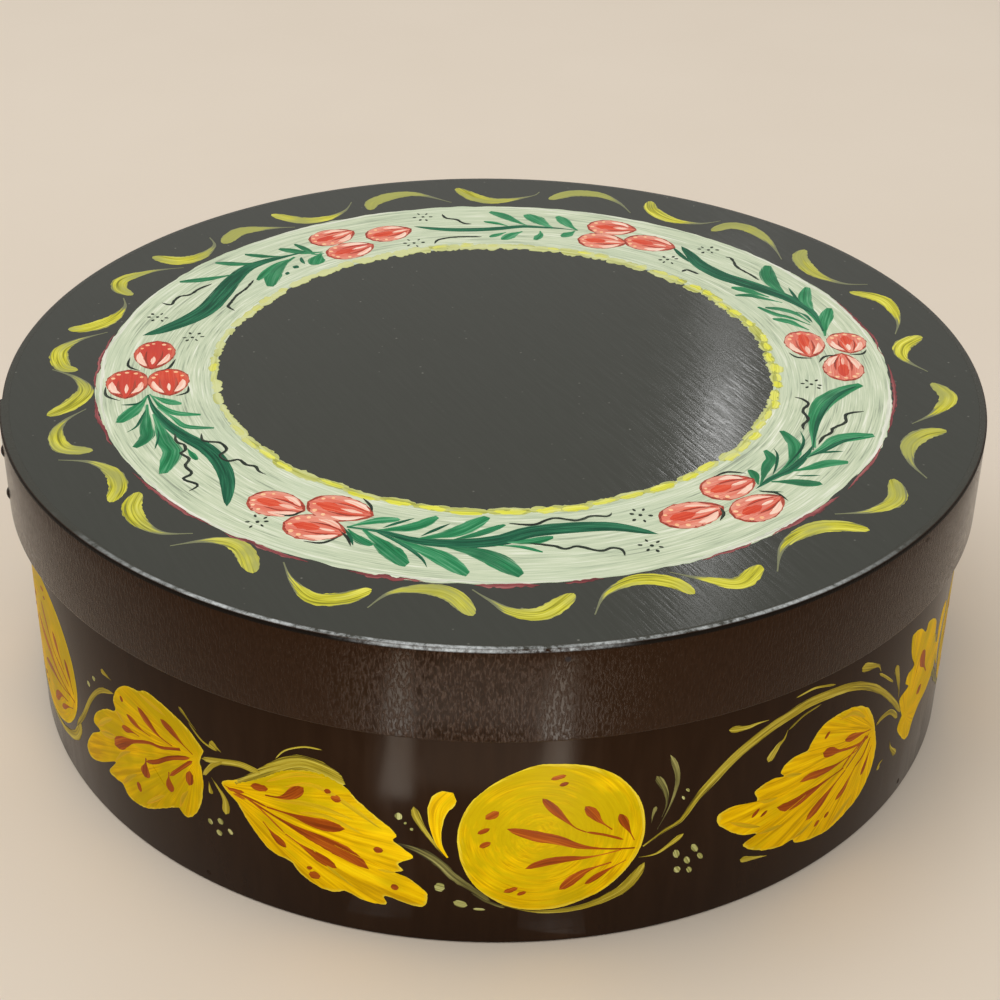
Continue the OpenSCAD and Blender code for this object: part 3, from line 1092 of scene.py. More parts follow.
LEAFLETS = [
    ([(-90.4, -19.8), (-91.8, -25.4), (-95.2, -34.1)], 4.2),
    ([(-89.7, -24.4), (-88.2, -35.3), (-87.1, -41.1), (-89.3, -46.4)], 3.8),
    ([(-87.2, -29.3), (-82.2, -42.9), (-79.5, -48.5), (-80.3, -58.7)], 5.2),
    ([(-89.9, -18.7), (-85.9, -25.3), (-81.4, -28.7), (-75.2, -29.2)], 2.3),
    ([(-86.8, -25.8), (-81.5, -31.7), (-78, -35.5), (-70.9, -36)], 1.9),
    ([(-89.2, -19.7), (-84.3, -22.7), (-80.9, -23.6)], 2.7), ([(-76.2, -46.5), (-73.1, -52)], 1.8),
    ([(-33.4, -81.5), (-28.2, -79.1), (-21.8, -77.8)], 2.9),
    ([(-27.9, -83.2), (-18.2, -81.1), (-12.9, -76.6)], 3.6),
    ([(-17.9, -86.6), (-8.3, -83.1), (-1.2, -76.3)], 4.6),
    ([(-10.6, -87.3), (-3.3, -83.9), (3, -79.6)], 2.3),
    ([(-33.6, -82.5), (-31.1, -86.5), (-27.7, -89.5)], 2.9),
    ([(-29.9, -82.8), (-24.6, -89.9), (-19.1, -97.2)], 5.2),
    ([(-22.8, -86.2), (-13.8, -92.2), (-9.9, -95.6), (-5.2, -100.7)], 5.2),
    ([(-12, -88.6), (-3.2, -91.9), (1.7, -95.3), (6.9, -100.8)], 5.8),
    ([(0.6, -88.7), (6.5, -89), (11.8, -91.1)], 1.3), ([(2.6, -87.3), (8.9, -86.7), (14.3, -84.8)], 2.8),
    ([(80.4, -41.4), (82.1, -28.1), (85.7, -18.2), (91.5, -11.5), (97.1, -7.7)], 5.4),
    ([(77.4, -46.9), (82.7, -41.7), (88, -36.5), (96.4, -34.6)], 4.3),
    ([(73, -53.3), (78, -51.4), (82.9, -49), (88, -48.4)], 3.3),
    ([(67.9, -58.3), (72.7, -58.2), (76, -58.7), (80, -58.6)], 3.4),
    ([(69.6, -54.7), (74, -48.4), (75.7, -41.5), (74.9, -36.9), (73.2, -33.1)], 3.6),
    ([(65.1, -59.7), (67.6, -50.8), (69.1, -47.2), (67.9, -43.1)], 3.0),
    ([(64.6, -59.7), (64, -54.9), (63.3, -52.7)], 2.6),
    ([(91.2, 20.4), (91.9, 27.2), (93.4, 33.3), (94.7, 37.9)], 4.0),
    ([(90.7, 27.1), (88.4, 39.3), (88.7, 45.6), (90.1, 51.3)], 4.2),
    ([(83.8, 43.9), (80.3, 53.4), (79.4, 59.9), (80.2, 65.8)], 5.0),
    ([(88.1, 28.5), (85, 33.8), (80.9, 36.7), (76.5, 37.7)], 2.2),
    ([(87.2, 24), (84.2, 26.9), (82.1, 29.1), (77.8, 30.5)], 2.6),
    ([(88, 27), (83, 31.4), (78.8, 33.6), (74.5, 38)], 2.0),
    ([(81.7, 41), (75.8, 44), (72.8, 45.5), (68.6, 45.3)], 2.2),
    ([(78.3, 44.5), (75, 46.7), (71.7, 49), (68, 50.5)], 3.2),
    ([(24.3, 89.2), (22, 92.5), (20.1, 96.3), (18.2, 99.6)], 3.8),
    ([(16.9, 90.4), (13.8, 94.1), (11.4, 97.4), (8.7, 100.7)], 5.0),
    ([(9, 92), (5.1, 95.7), (1.9, 99), (-2.7, 102.3)], 3.6),
    ([(3.5, 91.3), (-0.4, 93.6), (-4.4, 94.9)], 1.9), ([(12.9, 88.3), (12.9, 85.5), (11.3, 81.7)], 2.6),
    ([(7.4, 87.7), (4.3, 85.2), (1.8, 81.4)], 3.8), ([(23.5, 88.7), (21.5, 86.3), (19.1, 84.8)], 3.4),
    ([(2.4, 87), (-0.3, 85), (-2.6, 83.5)], 2.2), ([(-63, 67.2), (-69, 67), (-75.2, 68.1)], 2.3),
    ([(-69, 63), (-75.2, 61.4), (-83.2, 62)], 2.7),
    ([(-75.9, 54.8), (-81.1, 52.1), (-86.4, 50.1), (-91.8, 48.7)], 2.8),
    ([(-52.3, 70.7), (-57.6, 70.1), (-65.4, 72.5)], 3.2),
    ([(-51.8, 69.8), (-54.6, 69), (-57.4, 72.4), (-61.2, 75.9)], 2.2),
    ([(-52.6, 69.8), (-53.4, 66.2), (-53.8, 61.7)], 5.2),
    ([(-60.3, 66.8), (-64.1, 59.6), (-65.3, 52.6), (-65.4, 46.6)], 5.0),
    ([(-62, 65), (-65.4, 61.3), (-69.5, 50.7)], 2.8),
]
BLADES = [
    ([(-90.3, -19.2), (-87.7, -26.3), (-83.1, -34.2), (-77.3, -40.8), (-71.8, -45.9), (-67.3, -52.8),
      (-64.3, -61.8), (-63, -73.4)], 4.4),
    ([(-33.9, -81.6), (-25.4, -83.6), (-17.9, -87), (-8.1, -88.1), (1.6, -86.5), (8.9, -82.6),
      (18.8, -80.5), (28.7, -79.8), (38.9, -82.7)], 4.8),
    ([(80, -42.6), (82.4, -30), (86, -20), (91, -12.6), (96, -8.4)], 2.0),
    ([(91.2, 23.4), (89.6, 34.7), (84.4, 43.1), (78.7, 48.5), (72.2, 53.5), (65.6, 58.6), (60.1, 65.9),
      (57.7, 72.7), (55.4, 78.7)], 5.2),
    ([(24.3, 89.2), (18.8, 90.5), (12.9, 91.2), (7.1, 91.5), (0.4, 89.8), (-6.6, 88.6), (-14.4, 88.3),
      (-20.3, 89), (-25.8, 90.3)], 2.7),
    ([(-57.6, 70.5), (-63, 67.2), (-69.4, 63), (-74, 57.5), (-77, 48.8), (-79.2, 39.5), (-81.7, 31.2),
      (-85.8, 24.6), (-92, 18.1), (-97, 14.5)], 6.2),
]
DARK_STROKES = [
    ([(-89.6, -26.9), (-89.9, -30.9), (-90.6, -35.9), (-92.5, -38.9)], 0.8),
    ([(-85.1, -36.7), (-84.2, -41), (-84.2, -47.2)], 0.7),
    ([(-90.9, -21.8), (-92.5, -24.2), (-96.3, -24.8)], 1.0),
    ([(-25.5, -81.8), (-22.7, -79.9), (-18.3, -77.4)], 1.0),
    ([(-16.5, -85.2), (-13.2, -82.3), (-9.8, -79.5)], 1.0),
    ([(-34.6, -82), (-32.9, -85.6), (-31.9, -89.6)], 0.9),
    ([(-27.9, -82.8), (-21.3, -88), (-16.2, -94), (-14.5, -98.3)], 1.2),
    ([(63.7, -61.9), (68.3, -56.5), (73.6, -52), (78.1, -45.1), (80.3, -40)], 2.2),
    ([(68.5, -55.2), (69.9, -50.7), (70.8, -45.3), (70.2, -42.1)], 0.8),
    ([(71.2, -52.9), (76.5, -43.3), (78.3, -37.7), (77.9, -33)], 1.0),
    ([(77.6, -46.6), (83, -42.4), (88, -38), (94, -35.4)], 1.6),
    ([(80.5, -44.6), (83.1, -43.6), (87.6, -43)], 0.9),
    ([(74.1, -55.1), (76.4, -55.2), (80.3, -54.9)], 0.7),
    ([(64.3, -62.3), (66.1, -62.9), (70.3, -63)], 0.7), ([(88.8, 28.6), (87.3, 33.1), (84.9, 35.3)], 1.0),
    ([(86.9, 40.8), (85.7, 45.5), (84.6, 51.1)], 1.0), ([(57, 67.5), (54.8, 72.6), (52.9, 77.7)], 1.6),
    ([(-58.4, 66.9), (-57.8, 64.2), (-56.8, 62.1)], 1.2), ([(-59, 61.1), (-59.5, 58.9)], 2.0),
    ([(-61.2, 56.6), (-61.4, 54.5)], 1.4),
]
LEAF_LIFT = 0.08
LEAF_STEP = 0.0004
BLADE_LIFT = 0.105
leaflets = []
for k, (line, width) in enumerate(LEAFLETS):
    slant = draw.uniform(-0.5, 0.5)
    tint = draw.uniform(-0.4, 0.5)
    lift = LEAF_LIFT + k * LEAF_STEP
    leaflets.append(stroke(on_lid, line, width, leaflet, lift, (14, 5), 0.12, slant, tint))
paint_layer("lid_leaflets", leaflets, leaf_green, "lid", "green_paint", LEAF_LIFT)
blades = [stroke(on_lid, line, width, blade, BLADE_LIFT, (30, 5)) for line, width in BLADES]
blades += [stroke(on_lid, line, width, lens, BLADE_LIFT, (14, 3), 0.15) for line, width in DARK_STROKES]
paint_layer("lid_long_blades", blades, leaf_dark, "lid", "green_paint", BLADE_LIFT)

# Berries, each from its round head to its tip

BERRIES = [
    ((-92.5, 11), (-91.6, -4.6)), ((-97.6, -6), (-95.8, -21)), ((-87.4, -5), (-84.6, -19)),
    ((-58, -69.3), (-44.8, -74.7)), ((-43.7, -70.9), (-28.5, -76.4)), ((-48.6, -80.2), (-34.4, -84.2)),
    ((51, -64.5), (63.3, -57.3)), ((40, -77.3), (54.7, -70.3)), ((57.7, -75), (69.3, -65.3)),
    ((84.6, 22.8), (85.5, 8)), ((96.5, 22.4), (96.9, 10.6)), ((93.1, -5.5), (94.4, 9.7)),
    ((27.7, 92.8), (42, 90.2)), ((24.5, 82.8), (38.5, 80.5)), ((38.8, 83.2), (53, 77.5)),
    ((-56, 77), (-44.5, 86)), ((-50.2, 68), (-37.9, 76.5)), ((-39.6, 81.6), (-27, 88.3)),
]
DARK_BERRIES = (0, 1, 2)
DARK_TINT = 0.8
BERRY_W = 10.6
RIM_W = 0.5
CORE_W = 6.4
OUTLINE_LIFT = 0.108
BERRY_LIFT = 0.12
CORE_LIFT = 0.13
SHADE_LIFT = 0.14
LIGHT_LIFT = 0.15
CORE_LINES = (-0.36, 0.04, 0.4)
SHADE_LINES = (-0.42, 0.38)
# How far aside each pale stroke lies, where it starts, and its width
LIGHT_LINES = ((-0.76, 0.44, 2.1), (0.0, 0.54, 1.8), (0.72, 0.46, 2.1))
DOT_TURNS = (-80, -42, -4, 36, 78)


def berry_places(head, tip):
    """Gives places on a berry: a share of the way from its head to its tip, and a share of its half width."""
    head = Vector(head)
    way = Vector(tip) - head
    side = Vector((-way.y, way.x)).normalized() * BERRY_W / 2
    return lambda a, b: tuple(head + way * a + side * b)


rims = []
berries = []
pinks = []
cores = []
lights = []
creams = []
shades = []
for k, berry in enumerate(BERRIES):
    at = berry_places(*berry)
    dark = k in DARK_BERRIES
    ends = [at(-0.03, 0), at(1.04, 0)]
    rims.append(stroke(on_lid, ends, BERRY_W + RIM_W, egg, OUTLINE_LIFT, (18, 8), 0.08))
    tint = draw.uniform(-0.3, 0.3) + (DARK_TINT if dark else 0.0)
    layer = berries if dark else pinks
    layer.append(stroke(on_lid, [at(0, 0), at(1, 0)], BERRY_W, egg, BERRY_LIFT, (18, 8), 0.05, 0.0, tint))
    if not dark:
        ends = [at(draw.uniform(0.1, 0.16), 0), at(draw.uniform(0.56, 0.66), 0)]
        cores.append(stroke(on_lid, ends, CORE_W, orb, CORE_LIFT, (12, 6), 0.25))
        for b in CORE_LINES:
            b += draw.uniform(-0.08, 0.08)
            line = [at(0.4, b), at(0.7, b * 0.9), at(draw.uniform(0.9, 1.0), b * 0.35)]
            cores.append(stroke(on_lid, line, draw.uniform(1.1, 2.0), lens, CORE_LIFT, (10, 3), 0.3))
    for b in SHADE_LINES:
        line = [at(0.34, b), at(0.66, b * 0.95), at(0.96, b * 0.3)]
        shades.append(stroke(on_lid, line, draw.uniform(1.0, 1.7), lens, SHADE_LIFT, (10, 2), 0.3))
    for b, start, width in LIGHT_LINES:
        start += draw.uniform(-0.05, 0.05)
        end = draw.uniform(0.84, 0.95)
        line = [at(start, b), at(0.68, b * 0.86), at(end, b * 0.34)]
        width += draw.uniform(-0.4, 0.4)
        lights.append(stroke(on_lid, line, width, lens, LIGHT_LIFT, (12, 4), 0.35))
    for turn in DOT_TURNS:
        angle = math.radians(turn + draw.uniform(-9, 9))
        spot = at(0.34 - 0.25 * math.cos(angle), 0.72 * math.sin(angle))
        creams.append(dot(on_lid, spot, draw.uniform(0.9, 1.4), LIGHT_LIFT))
paint_layer("lid_berry_outlines", rims, berry_shade, "lid", "red_paint", OUTLINE_LIFT)
paint_layer("lid_berry_shades", shades, berry_shade, "lid", "red_paint", SHADE_LIFT)
paint_layer("lid_berries", berries, berry_red, "lid", "red_paint", BERRY_LIFT)
paint_layer("lid_pink_berries", pinks, berry_pink, "lid", "red_paint", BERRY_LIFT)
paint_layer("lid_berry_cores", cores, berry_red, "lid", "red_paint", CORE_LIFT)
paint_layer("lid_berry_lights", lights, berry_light, "lid", "white_paint", LIGHT_LIFT)
paint_layer("lid_berry_dots", creams, dot_cream, "lid", "white_paint", LIGHT_LIFT)

# Black tendrils, sepals and dot rosettes

TENDRILS = [
    [(-80.4, -39), (-79.3, -43.3), (-77.2, -44.7), (-76.6, -47.5), (-77.5, -48.9), (-75, -51.6),
     (-75.5, -54.9), (-73.4, -58.5), (-75.1, -61.2), (-71.2, -63.8), (-72.9, -66.7)],
    [(-73.7, -38.8), (-72.7, -42.6), (-68.5, -43.4), (-66.4, -46.7), (-67.7, -50), (-65.3, -52.3),
     (-62.8, -51.5), (-60.6, -54), (-58.4, -54.6), (-57.2, -57), (-55.4, -58.4)],
    [(4, -79.1), (9.9, -79.4), (14.4, -76.5), (19.9, -77.3), (23.4, -75.3), (27.4, -75.2), (28.3, -73.6)],
    [(8.9, -87.6), (14.2, -88.4), (17.1, -89.6), (20.1, -88.5), (24.9, -90.3), (27.8, -88.9),
     (30.2, -89.7), (30.7, -92.3)],
    [(78.9, -32.5), (79, -30.1), (80.7, -26.7), (79.9, -22.3), (81.8, -18.8), (80.6, -16.3),
     (78.6, -15.2)],
    [(81.7, -39.9), (83.4, -36.1), (85.8, -33.7), (86.6, -31.3), (90.1, -28.3), (91, -23.9),
     (95.7, -22.3)],
    [(76.6, 55.7), (74.2, 59.7), (71.1, 64.2), (70.3, 68), (69.5, 70.9), (68.1, 71.3)],
    [(59.2, 59.2), (57.5, 60.8), (55.8, 62), (54.3, 60.7)],
    [(-8.3, 92.8), (-10.6, 93.2), (-13.1, 96), (-16.2, 96.9), (-17.5, 99.8)],
    [(-5, 83.4), (-9.6, 83.3), (-14.3, 82.6), (-18.1, 80.6), (-19.1, 77.8)],
    [(-82.4, 47.7), (-85.6, 44.2), (-87.7, 40.4), (-90.4, 39.1), (-91.5, 36.6), (-92.1, 33.7),
     (-94.8, 34.8)],
    [(-70.6, 50.7), (-71.9, 45.6), (-74.2, 40.5), (-75.7, 34.6), (-75.8, 33), (-73.7, 30.6)],
]
SEPALS = [
    [(-98.3, 1.5), (-98, -3.5), (-94.5, -6)], [(-86, 1), (-87, -4), (-89, -6)],
    [(-102, -15), (-101, -20), (-97, -22.6)], [(-80.5, -14), (-80.3, -17.5), (-83, -19.5)],
    [(-52, -76), (-47.5, -77), (-44.5, -74.5)], [(-31, -68.8), (-29, -72), (-28.4, -75)],
    [(-43.5, -88), (-39, -88.6), (-35, -85.5)], [(-35.8, -83), (-33.6, -86), (-32.4, -90)],
    [(54, -56.5), (57.5, -54), (62, -54.5)], [(53.8, -76.5), (55, -73), (54, -70)],
    [(64.5, -63), (68.5, -63.5), (71, -67)], [(80, 10), (82, 7.4), (86, 7)],
    [(87.5, 4.5), (89.5, 8), (93, 9)], [(101.5, 12.5), (100, 10), (96.5, 9.6)],
]
ROSETTES = [
    (-55, -80), (35.1, -74.5), (37.1, -87.7), (83.9, -7.9), (63.4, 76.3), (50.6, 69), (-23.4, 97.6),
    (-25.3, 78.1), (-94.7, 25.9), (-83.3, 13.8),
]
MARK_LIFT = 0.16
TENDRIL_W = 0.85
SEPAL_W = 0.8
ROSETTE_EYE = 1.0
ROSETTE_DOTS = 6
ROSETTE_DOT_LENGTH = 1.2
marks = [stroke(on_lid, line, TENDRIL_W, thread, MARK_LIFT, (36, 2), 0.45) for line in TENDRILS]
marks += [stroke(on_lid, line, SEPAL_W, lens, MARK_LIFT, (10, 2), 0.2) for line in SEPALS]
for x, y in ROSETTES:
    marks.append(dot(on_lid, (x, y), ROSETTE_EYE, MARK_LIFT))
    for k in range(ROSETTE_DOTS):
        angle = math.radians(360 / ROSETTE_DOTS * k + draw.uniform(-14, 14))
        reach = draw.uniform(2.0, 2.8)
        way = (math.cos(angle), math.sin(angle))
        spot = (x + reach * way[0], y + reach * way[1])
        marks.append(dot(on_lid, spot, draw.uniform(0.5, 0.9), MARK_LIFT, ROSETTE_DOT_LENGTH, way))
paint_layer("lid_black_marks", marks, mark_black, "lid", "black_paint", MARK_LIFT)

# Vine round the side, read as angles and heights: leaves by their outline, strokes with their width

BROAD_LEAF = [
    (238.2, 41.6), (236.3, 46.1), (233.4, 49.3), (230.3, 50.9), (228.7, 49.5), (226.7, 48.7), (224.8, 45.4),
    (223.8, 41.1), (224, 37.9), (221.8, 35.6), (219.6, 31.5), (218.7, 27.6), (220, 26.3), (217.8, 22.3),
    (216.1, 16.3), (216.8, 13.5), (219.5, 15.7), (222.9, 20.4), (221.2, 15.2), (222.6, 14.6), (223.9, 14.7),
    (225.2, 12), (228.2, 12.6), (231.7, 17), (233.8, 19.6), (234.5, 18.1), (235.5, 18.6), (236.8, 22.2),
    (237.7, 29.3), (237.7, 35.8), (237.5, 37.8),
]
LONG_LEAF = [
    (242.3, 29.9), (243.9, 24), (246.2, 18.5), (248.5, 17.1), (249.3, 14.9), (250, 13.5), (251.7, 11.4),
    (253.5, 10.9), (254.8, 11.9), (256.8, 10.2), (259.3, 9.9), (259.1, 12.7), (262.1, 10.8), (263.4, 10.9),
    (263.8, 14.3), (263.1, 16.5), (261.6, 19.3), (260.2, 20.4), (261.2, 21.2), (260.6, 22.9), (261, 23.9),
    (262.3, 25.8), (261.1, 28.3), (260.1, 30.2), (260.6, 31.6), (260, 33.4), (258.1, 37.1), (256.4, 40.7),
    (254.6, 44.9), (252.3, 46.9), (249.3, 45.9), (247.3, 44), (245.8, 41.1), (244.1, 38.4), (240.4, 34.5),
]
BACK_OF_LEAF = [([(242.2, 35.7), (247.4, 43.8), (250.9, 47.2), (255.2, 44.6)], 6.6)]
RIGHT_LEAF = [
    (318.5, 33.8), (317.7, 37.9), (316.2, 42.2), (313.7, 45.1), (310.6, 45.9), (308.4, 44.6), (307.2, 41.4),
    (306.6, 39.6), (304.9, 39.6), (303.6, 38.4), (303.1, 36.4), (303.6, 34.9), (302, 35.6), (300.3, 34.6),
    (299.7, 33.6), (300.2, 30.6), (298.9, 31), (296.9, 31.6), (295.4, 30.6), (295.1, 28.9), (295.8, 26.3),
    (298.2, 21.9), (300.6, 20), (299.4, 19), (298.8, 17.9), (299.8, 15.9), (301.8, 13.6), (304.2, 12.4),
    (305.9, 12.7), (306.4, 11.1), (308.6, 9.6), (311.8, 9), (314.4, 10.5), (317.2, 13.4), (319, 18.8),
    (319.5, 25.8), (318.9, 31),
]
FAR_LEAF = [
    (325.4, 27.6), (324.6, 24.4), (325.8, 20.5), (327.3, 17.2), (328.6, 16.7), (329.4, 20.2), (331, 23.2),
    (333.6, 24.6), (336, 28), (336.2, 35), (334.4, 39), (333.6, 46), (331.8, 49.2), (330.2, 50.2),
    (329.5, 48.3), (327.6, 51.7), (325.4, 52.7), (325.3, 49.5), (326, 45), (327, 41.1), (325.5, 40.4),
    (325.2, 37.9), (326.1, 35.8), (324.3, 34.9), (324.1, 33.3),
]
FRUIT = [
    (267.2, 26.2), (267.9, 21.6), (269, 17.5), (270.4, 14.6), (272, 12.2), (274.1, 10.8), (276.1, 10.5),
    (278.2, 11), (280.2, 12.6), (282.3, 14.8), (284.1, 18.3), (285.5, 22.4), (286.3, 26.2), (286.7, 30.7),
    (286.6, 35.4), (286.1, 40.2), (285, 44.7), (283.5, 48.7), (281.6, 51.6), (279.6, 53.3), (277.2, 54.1),
    (275.1, 54.1), (273.3, 52.6), (271.2, 49.9), (269.5, 46.5), (268.1, 42.5), (267.2, 37.2), (266.9, 32),
]

# The middle of each outline, the root that it is brushed from, and the heights over which it turns olive
BROAD_FORM = ((229, 31), (237.4, 39), (-30, 90))
LONG_FORM = ((252, 27), (240.1, 33.8), (28, 48))
RIGHT_FORM = ((309, 27), (318.4, 33), (10, 150))
FAR_FORM = ((329, 35), (326.5, 26.1), (-30, 150))
FRUIT_FORM = ((276.8, 32), (275.5, 33.2), (-40, 90))

FOLDS_LEFT = [
    ([(224.1, 37.9), (224.9, 37.2), (225.7, 35.6)], 1.6),
    ([(220.1, 26.3), (222, 27.8), (223.6, 29.4)], 2.2),
    ([(222.9, 20.8), (224.6, 25.3), (226.4, 28.2)], 1.1),
    ([(223.9, 14.9), (225.5, 18.8), (227.1, 22.1)], 1.7),
    ([(234, 19.9), (234.6, 23.6), (235.5, 26.9)], 1.5),
    ([(228.3, 14.2), (230.5, 18.8), (231.9, 21.4)], 1.4),
    ([(228.7, 49.2), (230.5, 48.2), (233.1, 46.8)], 1.4),
    ([(219.4, 27), (221.4, 31.3), (223.4, 34.8)], 1.7),
    ([(246.7, 34.6), (249.8, 36), (252.8, 36.1), (256.1, 34.4)], 2.0),
    ([(248.1, 39.3), (251.3, 42.3), (254.5, 39.8), (259, 33)], 1.7),
    ([(249.7, 32.8), (252.8, 33.9), (256.9, 30.7)], 1.6),
    ([(250.9, 23.5), (253.4, 17.7), (255.9, 13.5)], 1.3),
    ([(258.4, 20.6), (259.4, 20.4), (260.4, 20.3)], 0.9),
    ([(246, 39.4), (249.6, 44.2), (253.3, 45.4)], 1.4),
]
VEINS_LEFT = [
    ([(236.6, 39), (235.1, 40.9), (233.8, 42.9), (232.1, 45)], 2.3),
    ([(233.6, 38.4), (231.7, 39.2), (230.4, 40.9), (228.4, 44.5)], 2.5),
    ([(230.2, 37.5), (228.4, 37.9), (226.2, 39.6)], 1.9),
    ([(228.2, 35.1), (226.7, 35), (225, 34.1)], 2.0), ([(229, 29.4), (228.8, 26.4), (228.5, 22.9)], 3.6),
    ([(232.7, 29.5), (232.6, 26.5), (232.8, 23.3)], 2.8),
    ([(243.9, 32.1), (246.6, 30), (249.6, 27.7), (252.7, 25.6), (255.3, 23.5), (257.5, 20.2)], 4.2),
    ([(246, 31.8), (248.8, 31.7), (251.9, 31.1), (255, 31.2)], 3.6),
    ([(248.1, 25.2), (250, 22.9), (251.9, 20.7), (253.9, 18.6)], 2.9),
    ([(245.4, 26.9), (246.7, 23.6), (248.1, 21)], 2.2),
    ([(245.9, 35.3), (247.7, 36), (248.9, 37.6), (250.5, 41)], 3.2),
]
DROPS_LEFT = [([(234.8, 38.7), (231.8, 36), (229.5, 34.9), (225.5, 30.2), (223.1, 26)], 3.8)]
TAILS_LEFT = [
    ([(236.2, 37.6), (233.1, 34.2), (230.8, 30.4), (228.9, 28.2)], 1.3),
    ([(236.5, 37), (234.7, 32.9), (232.8, 28.4)], 1.1),
    ([(240.6, 33.8), (244.4, 31.6), (248.1, 25.2)], 0.5), ([(241.8, 33), (244, 32.6), (246, 31.8)], 0.6),
]
MARKS_LEFT = [
    ([(236, 33.4), (235.7, 28.6)], 2.4), ([(225.4, 44.2), (225.6, 42.5)], 1.3),
    ([(227.1, 19.7), (227.4, 16.7)], 1.9), ([(244.1, 36.6), (246.3, 37.5)], 2.2),
    ([(241.1, 33.1), (243.3, 33.9)], 1.1), ([(241.8, 32.3), (243.4, 31.9)], 0.8),
    ([(252.8, 41.4), (253.6, 41.6)], 1.5), ([(253.5, 39.9), (254.7, 39.7)], 2.2),
    ([(258, 26.6), (259.1, 26.6)], 1.9), ([(250.4, 16.4), (251.1, 16.9)], 1.1),
    ([(250.6, 14.5), (252, 14.8)], 2.2), ([(259.8, 15.7), (260.7, 15.8)], 1.8),
]
THREADS_LEFT = [
    ([(213.4, 18.7), (216.1, 26), (218.7, 34.7), (221.3, 40.7), (224.1, 43.1)], 1.5),
    ([(237.8, 39), (239.9, 40.3), (243, 42), (245.9, 41.2)], 1.9),
    ([(237.9, 34.1), (239.2, 38.2), (240.8, 41)], 1.3),
    ([(236.3, 48.5), (238.1, 44.6), (240.1, 43.4)], 0.6),
    ([(247.4, 47.3), (248.6, 50.6), (250.8, 53), (252.8, 53.3)], 0.5),
]
BUDS_LEFT = [
    ([(239, 34.5), (240.2, 31), (240.7, 28.6), (240.6, 24.7)], 2.3), ([(238.6, 33), (238.8, 29.2)], 1.4),
    ([(240.6, 43.5), (239.8, 44.4), (239.1, 45.2)], 2.4), ([(237.4, 47), (236.4, 49), (235.1, 51.8)], 1.0),
    ([(223.9, 46.8), (221.8, 47.5)], 1.6),
]
DOTS_LEFT = [
    ([(238.2, 21.1), (238.5, 19.4)], 1.4), ([(239.6, 22.6), (240, 20.9)], 1.7),
    ([(239.3, 18.7), (239.7, 17.1)], 1.7), ([(240.8, 20.4), (241.3, 19)], 1.4),
    ([(218.3, 39.7), (218.6, 38.2)], 1.5), ([(219.7, 43), (220.1, 41.9)], 1.5),
    ([(260.8, 38.7), (260.8, 36.5)], 1.7), ([(261.4, 36), (261.6, 35.6)], 0.8),
    ([(262, 34.4), (262.3, 33.9)], 0.8), ([(264.5, 17.5), (265.6, 16.9)], 2.8),
    ([(266.5, 12.9), (268, 11.9)], 2.1), ([(268.6, 11), (269.9, 10.8)], 0.8),
]

VEINS_FRUIT = [
    ([(285.7, 26.5), (283.1, 27.3), (280, 29), (277.3, 31.7), (274.9, 33.4), (272, 35.7)], 3.1),
    ([(280.3, 33.4), (279.1, 35.1), (277.6, 38.9), (275.6, 44.4)], 2.3),
    ([(283.1, 33.2), (281.7, 36.3), (281.1, 38.3), (280.1, 41.1)], 2.6),
    ([(285.6, 28.9), (284.7, 33.4), (283.8, 37.6)], 2.1),
    ([(284.2, 26.6), (281.1, 25.7), (278, 25.7), (275.8, 25), (274, 23.4)], 2.3),
    ([(283.2, 23.2), (280.9, 21.9), (279.5, 20), (277.7, 16.4)], 2.8),
    ([(284.8, 23.2), (282.6, 20.7), (280.4, 17.4)], 1.7),
]
TAILS_FRUIT = [([(284.4, 29.6), (282.4, 31.8), (280.3, 33.4)], 0.7)]
MARKS_FRUIT = [
    ([(276.4, 49.8), (278, 50.7)], 1.3), ([(277.3, 47.8), (278.3, 48.5)], 1.1),
    ([(269.8, 38.5), (271.2, 40.8)], 2.0), ([(269, 34.1), (270.3, 35.8)], 1.3),
    ([(269.2, 30.1), (270.4, 31.6)], 1.6), ([(271.8, 16.3), (273.3, 17.7)], 1.5),
    ([(273.2, 15.4), (274.2, 16.4)], 1.1),
]
STEMS_FRUIT = [
    ([(260.7, 29.3), (262.9, 27.9), (264.9, 24.9), (266.5, 20.8), (268.6, 16.9), (270.4, 13.7)], 2.5),
]
PODS_FRUIT = [
    ([(271.5, 12.3), (274.7, 10.2), (277.4, 9.7), (280.3, 10.4), (282.8, 12.2), (284.8, 14.6),
      (286.2, 18.5), (286.9, 21.4)], 3.0),
]
THREADS_FRUIT = [([(268.4, 16), (270, 13.5), (272, 11.4)], 0.8)]
BUDS_FRUIT = [([(265.5, 26.8), (264.5, 30.4), (263.5, 34.2), (262.7, 38), (262.4, 41)], 2.1)]
GOLD_BUD = [([(265.9, 26.5), (265, 30.5), (264.7, 35.7), (265, 41.4), (266.5, 45.9)], 5.6)]

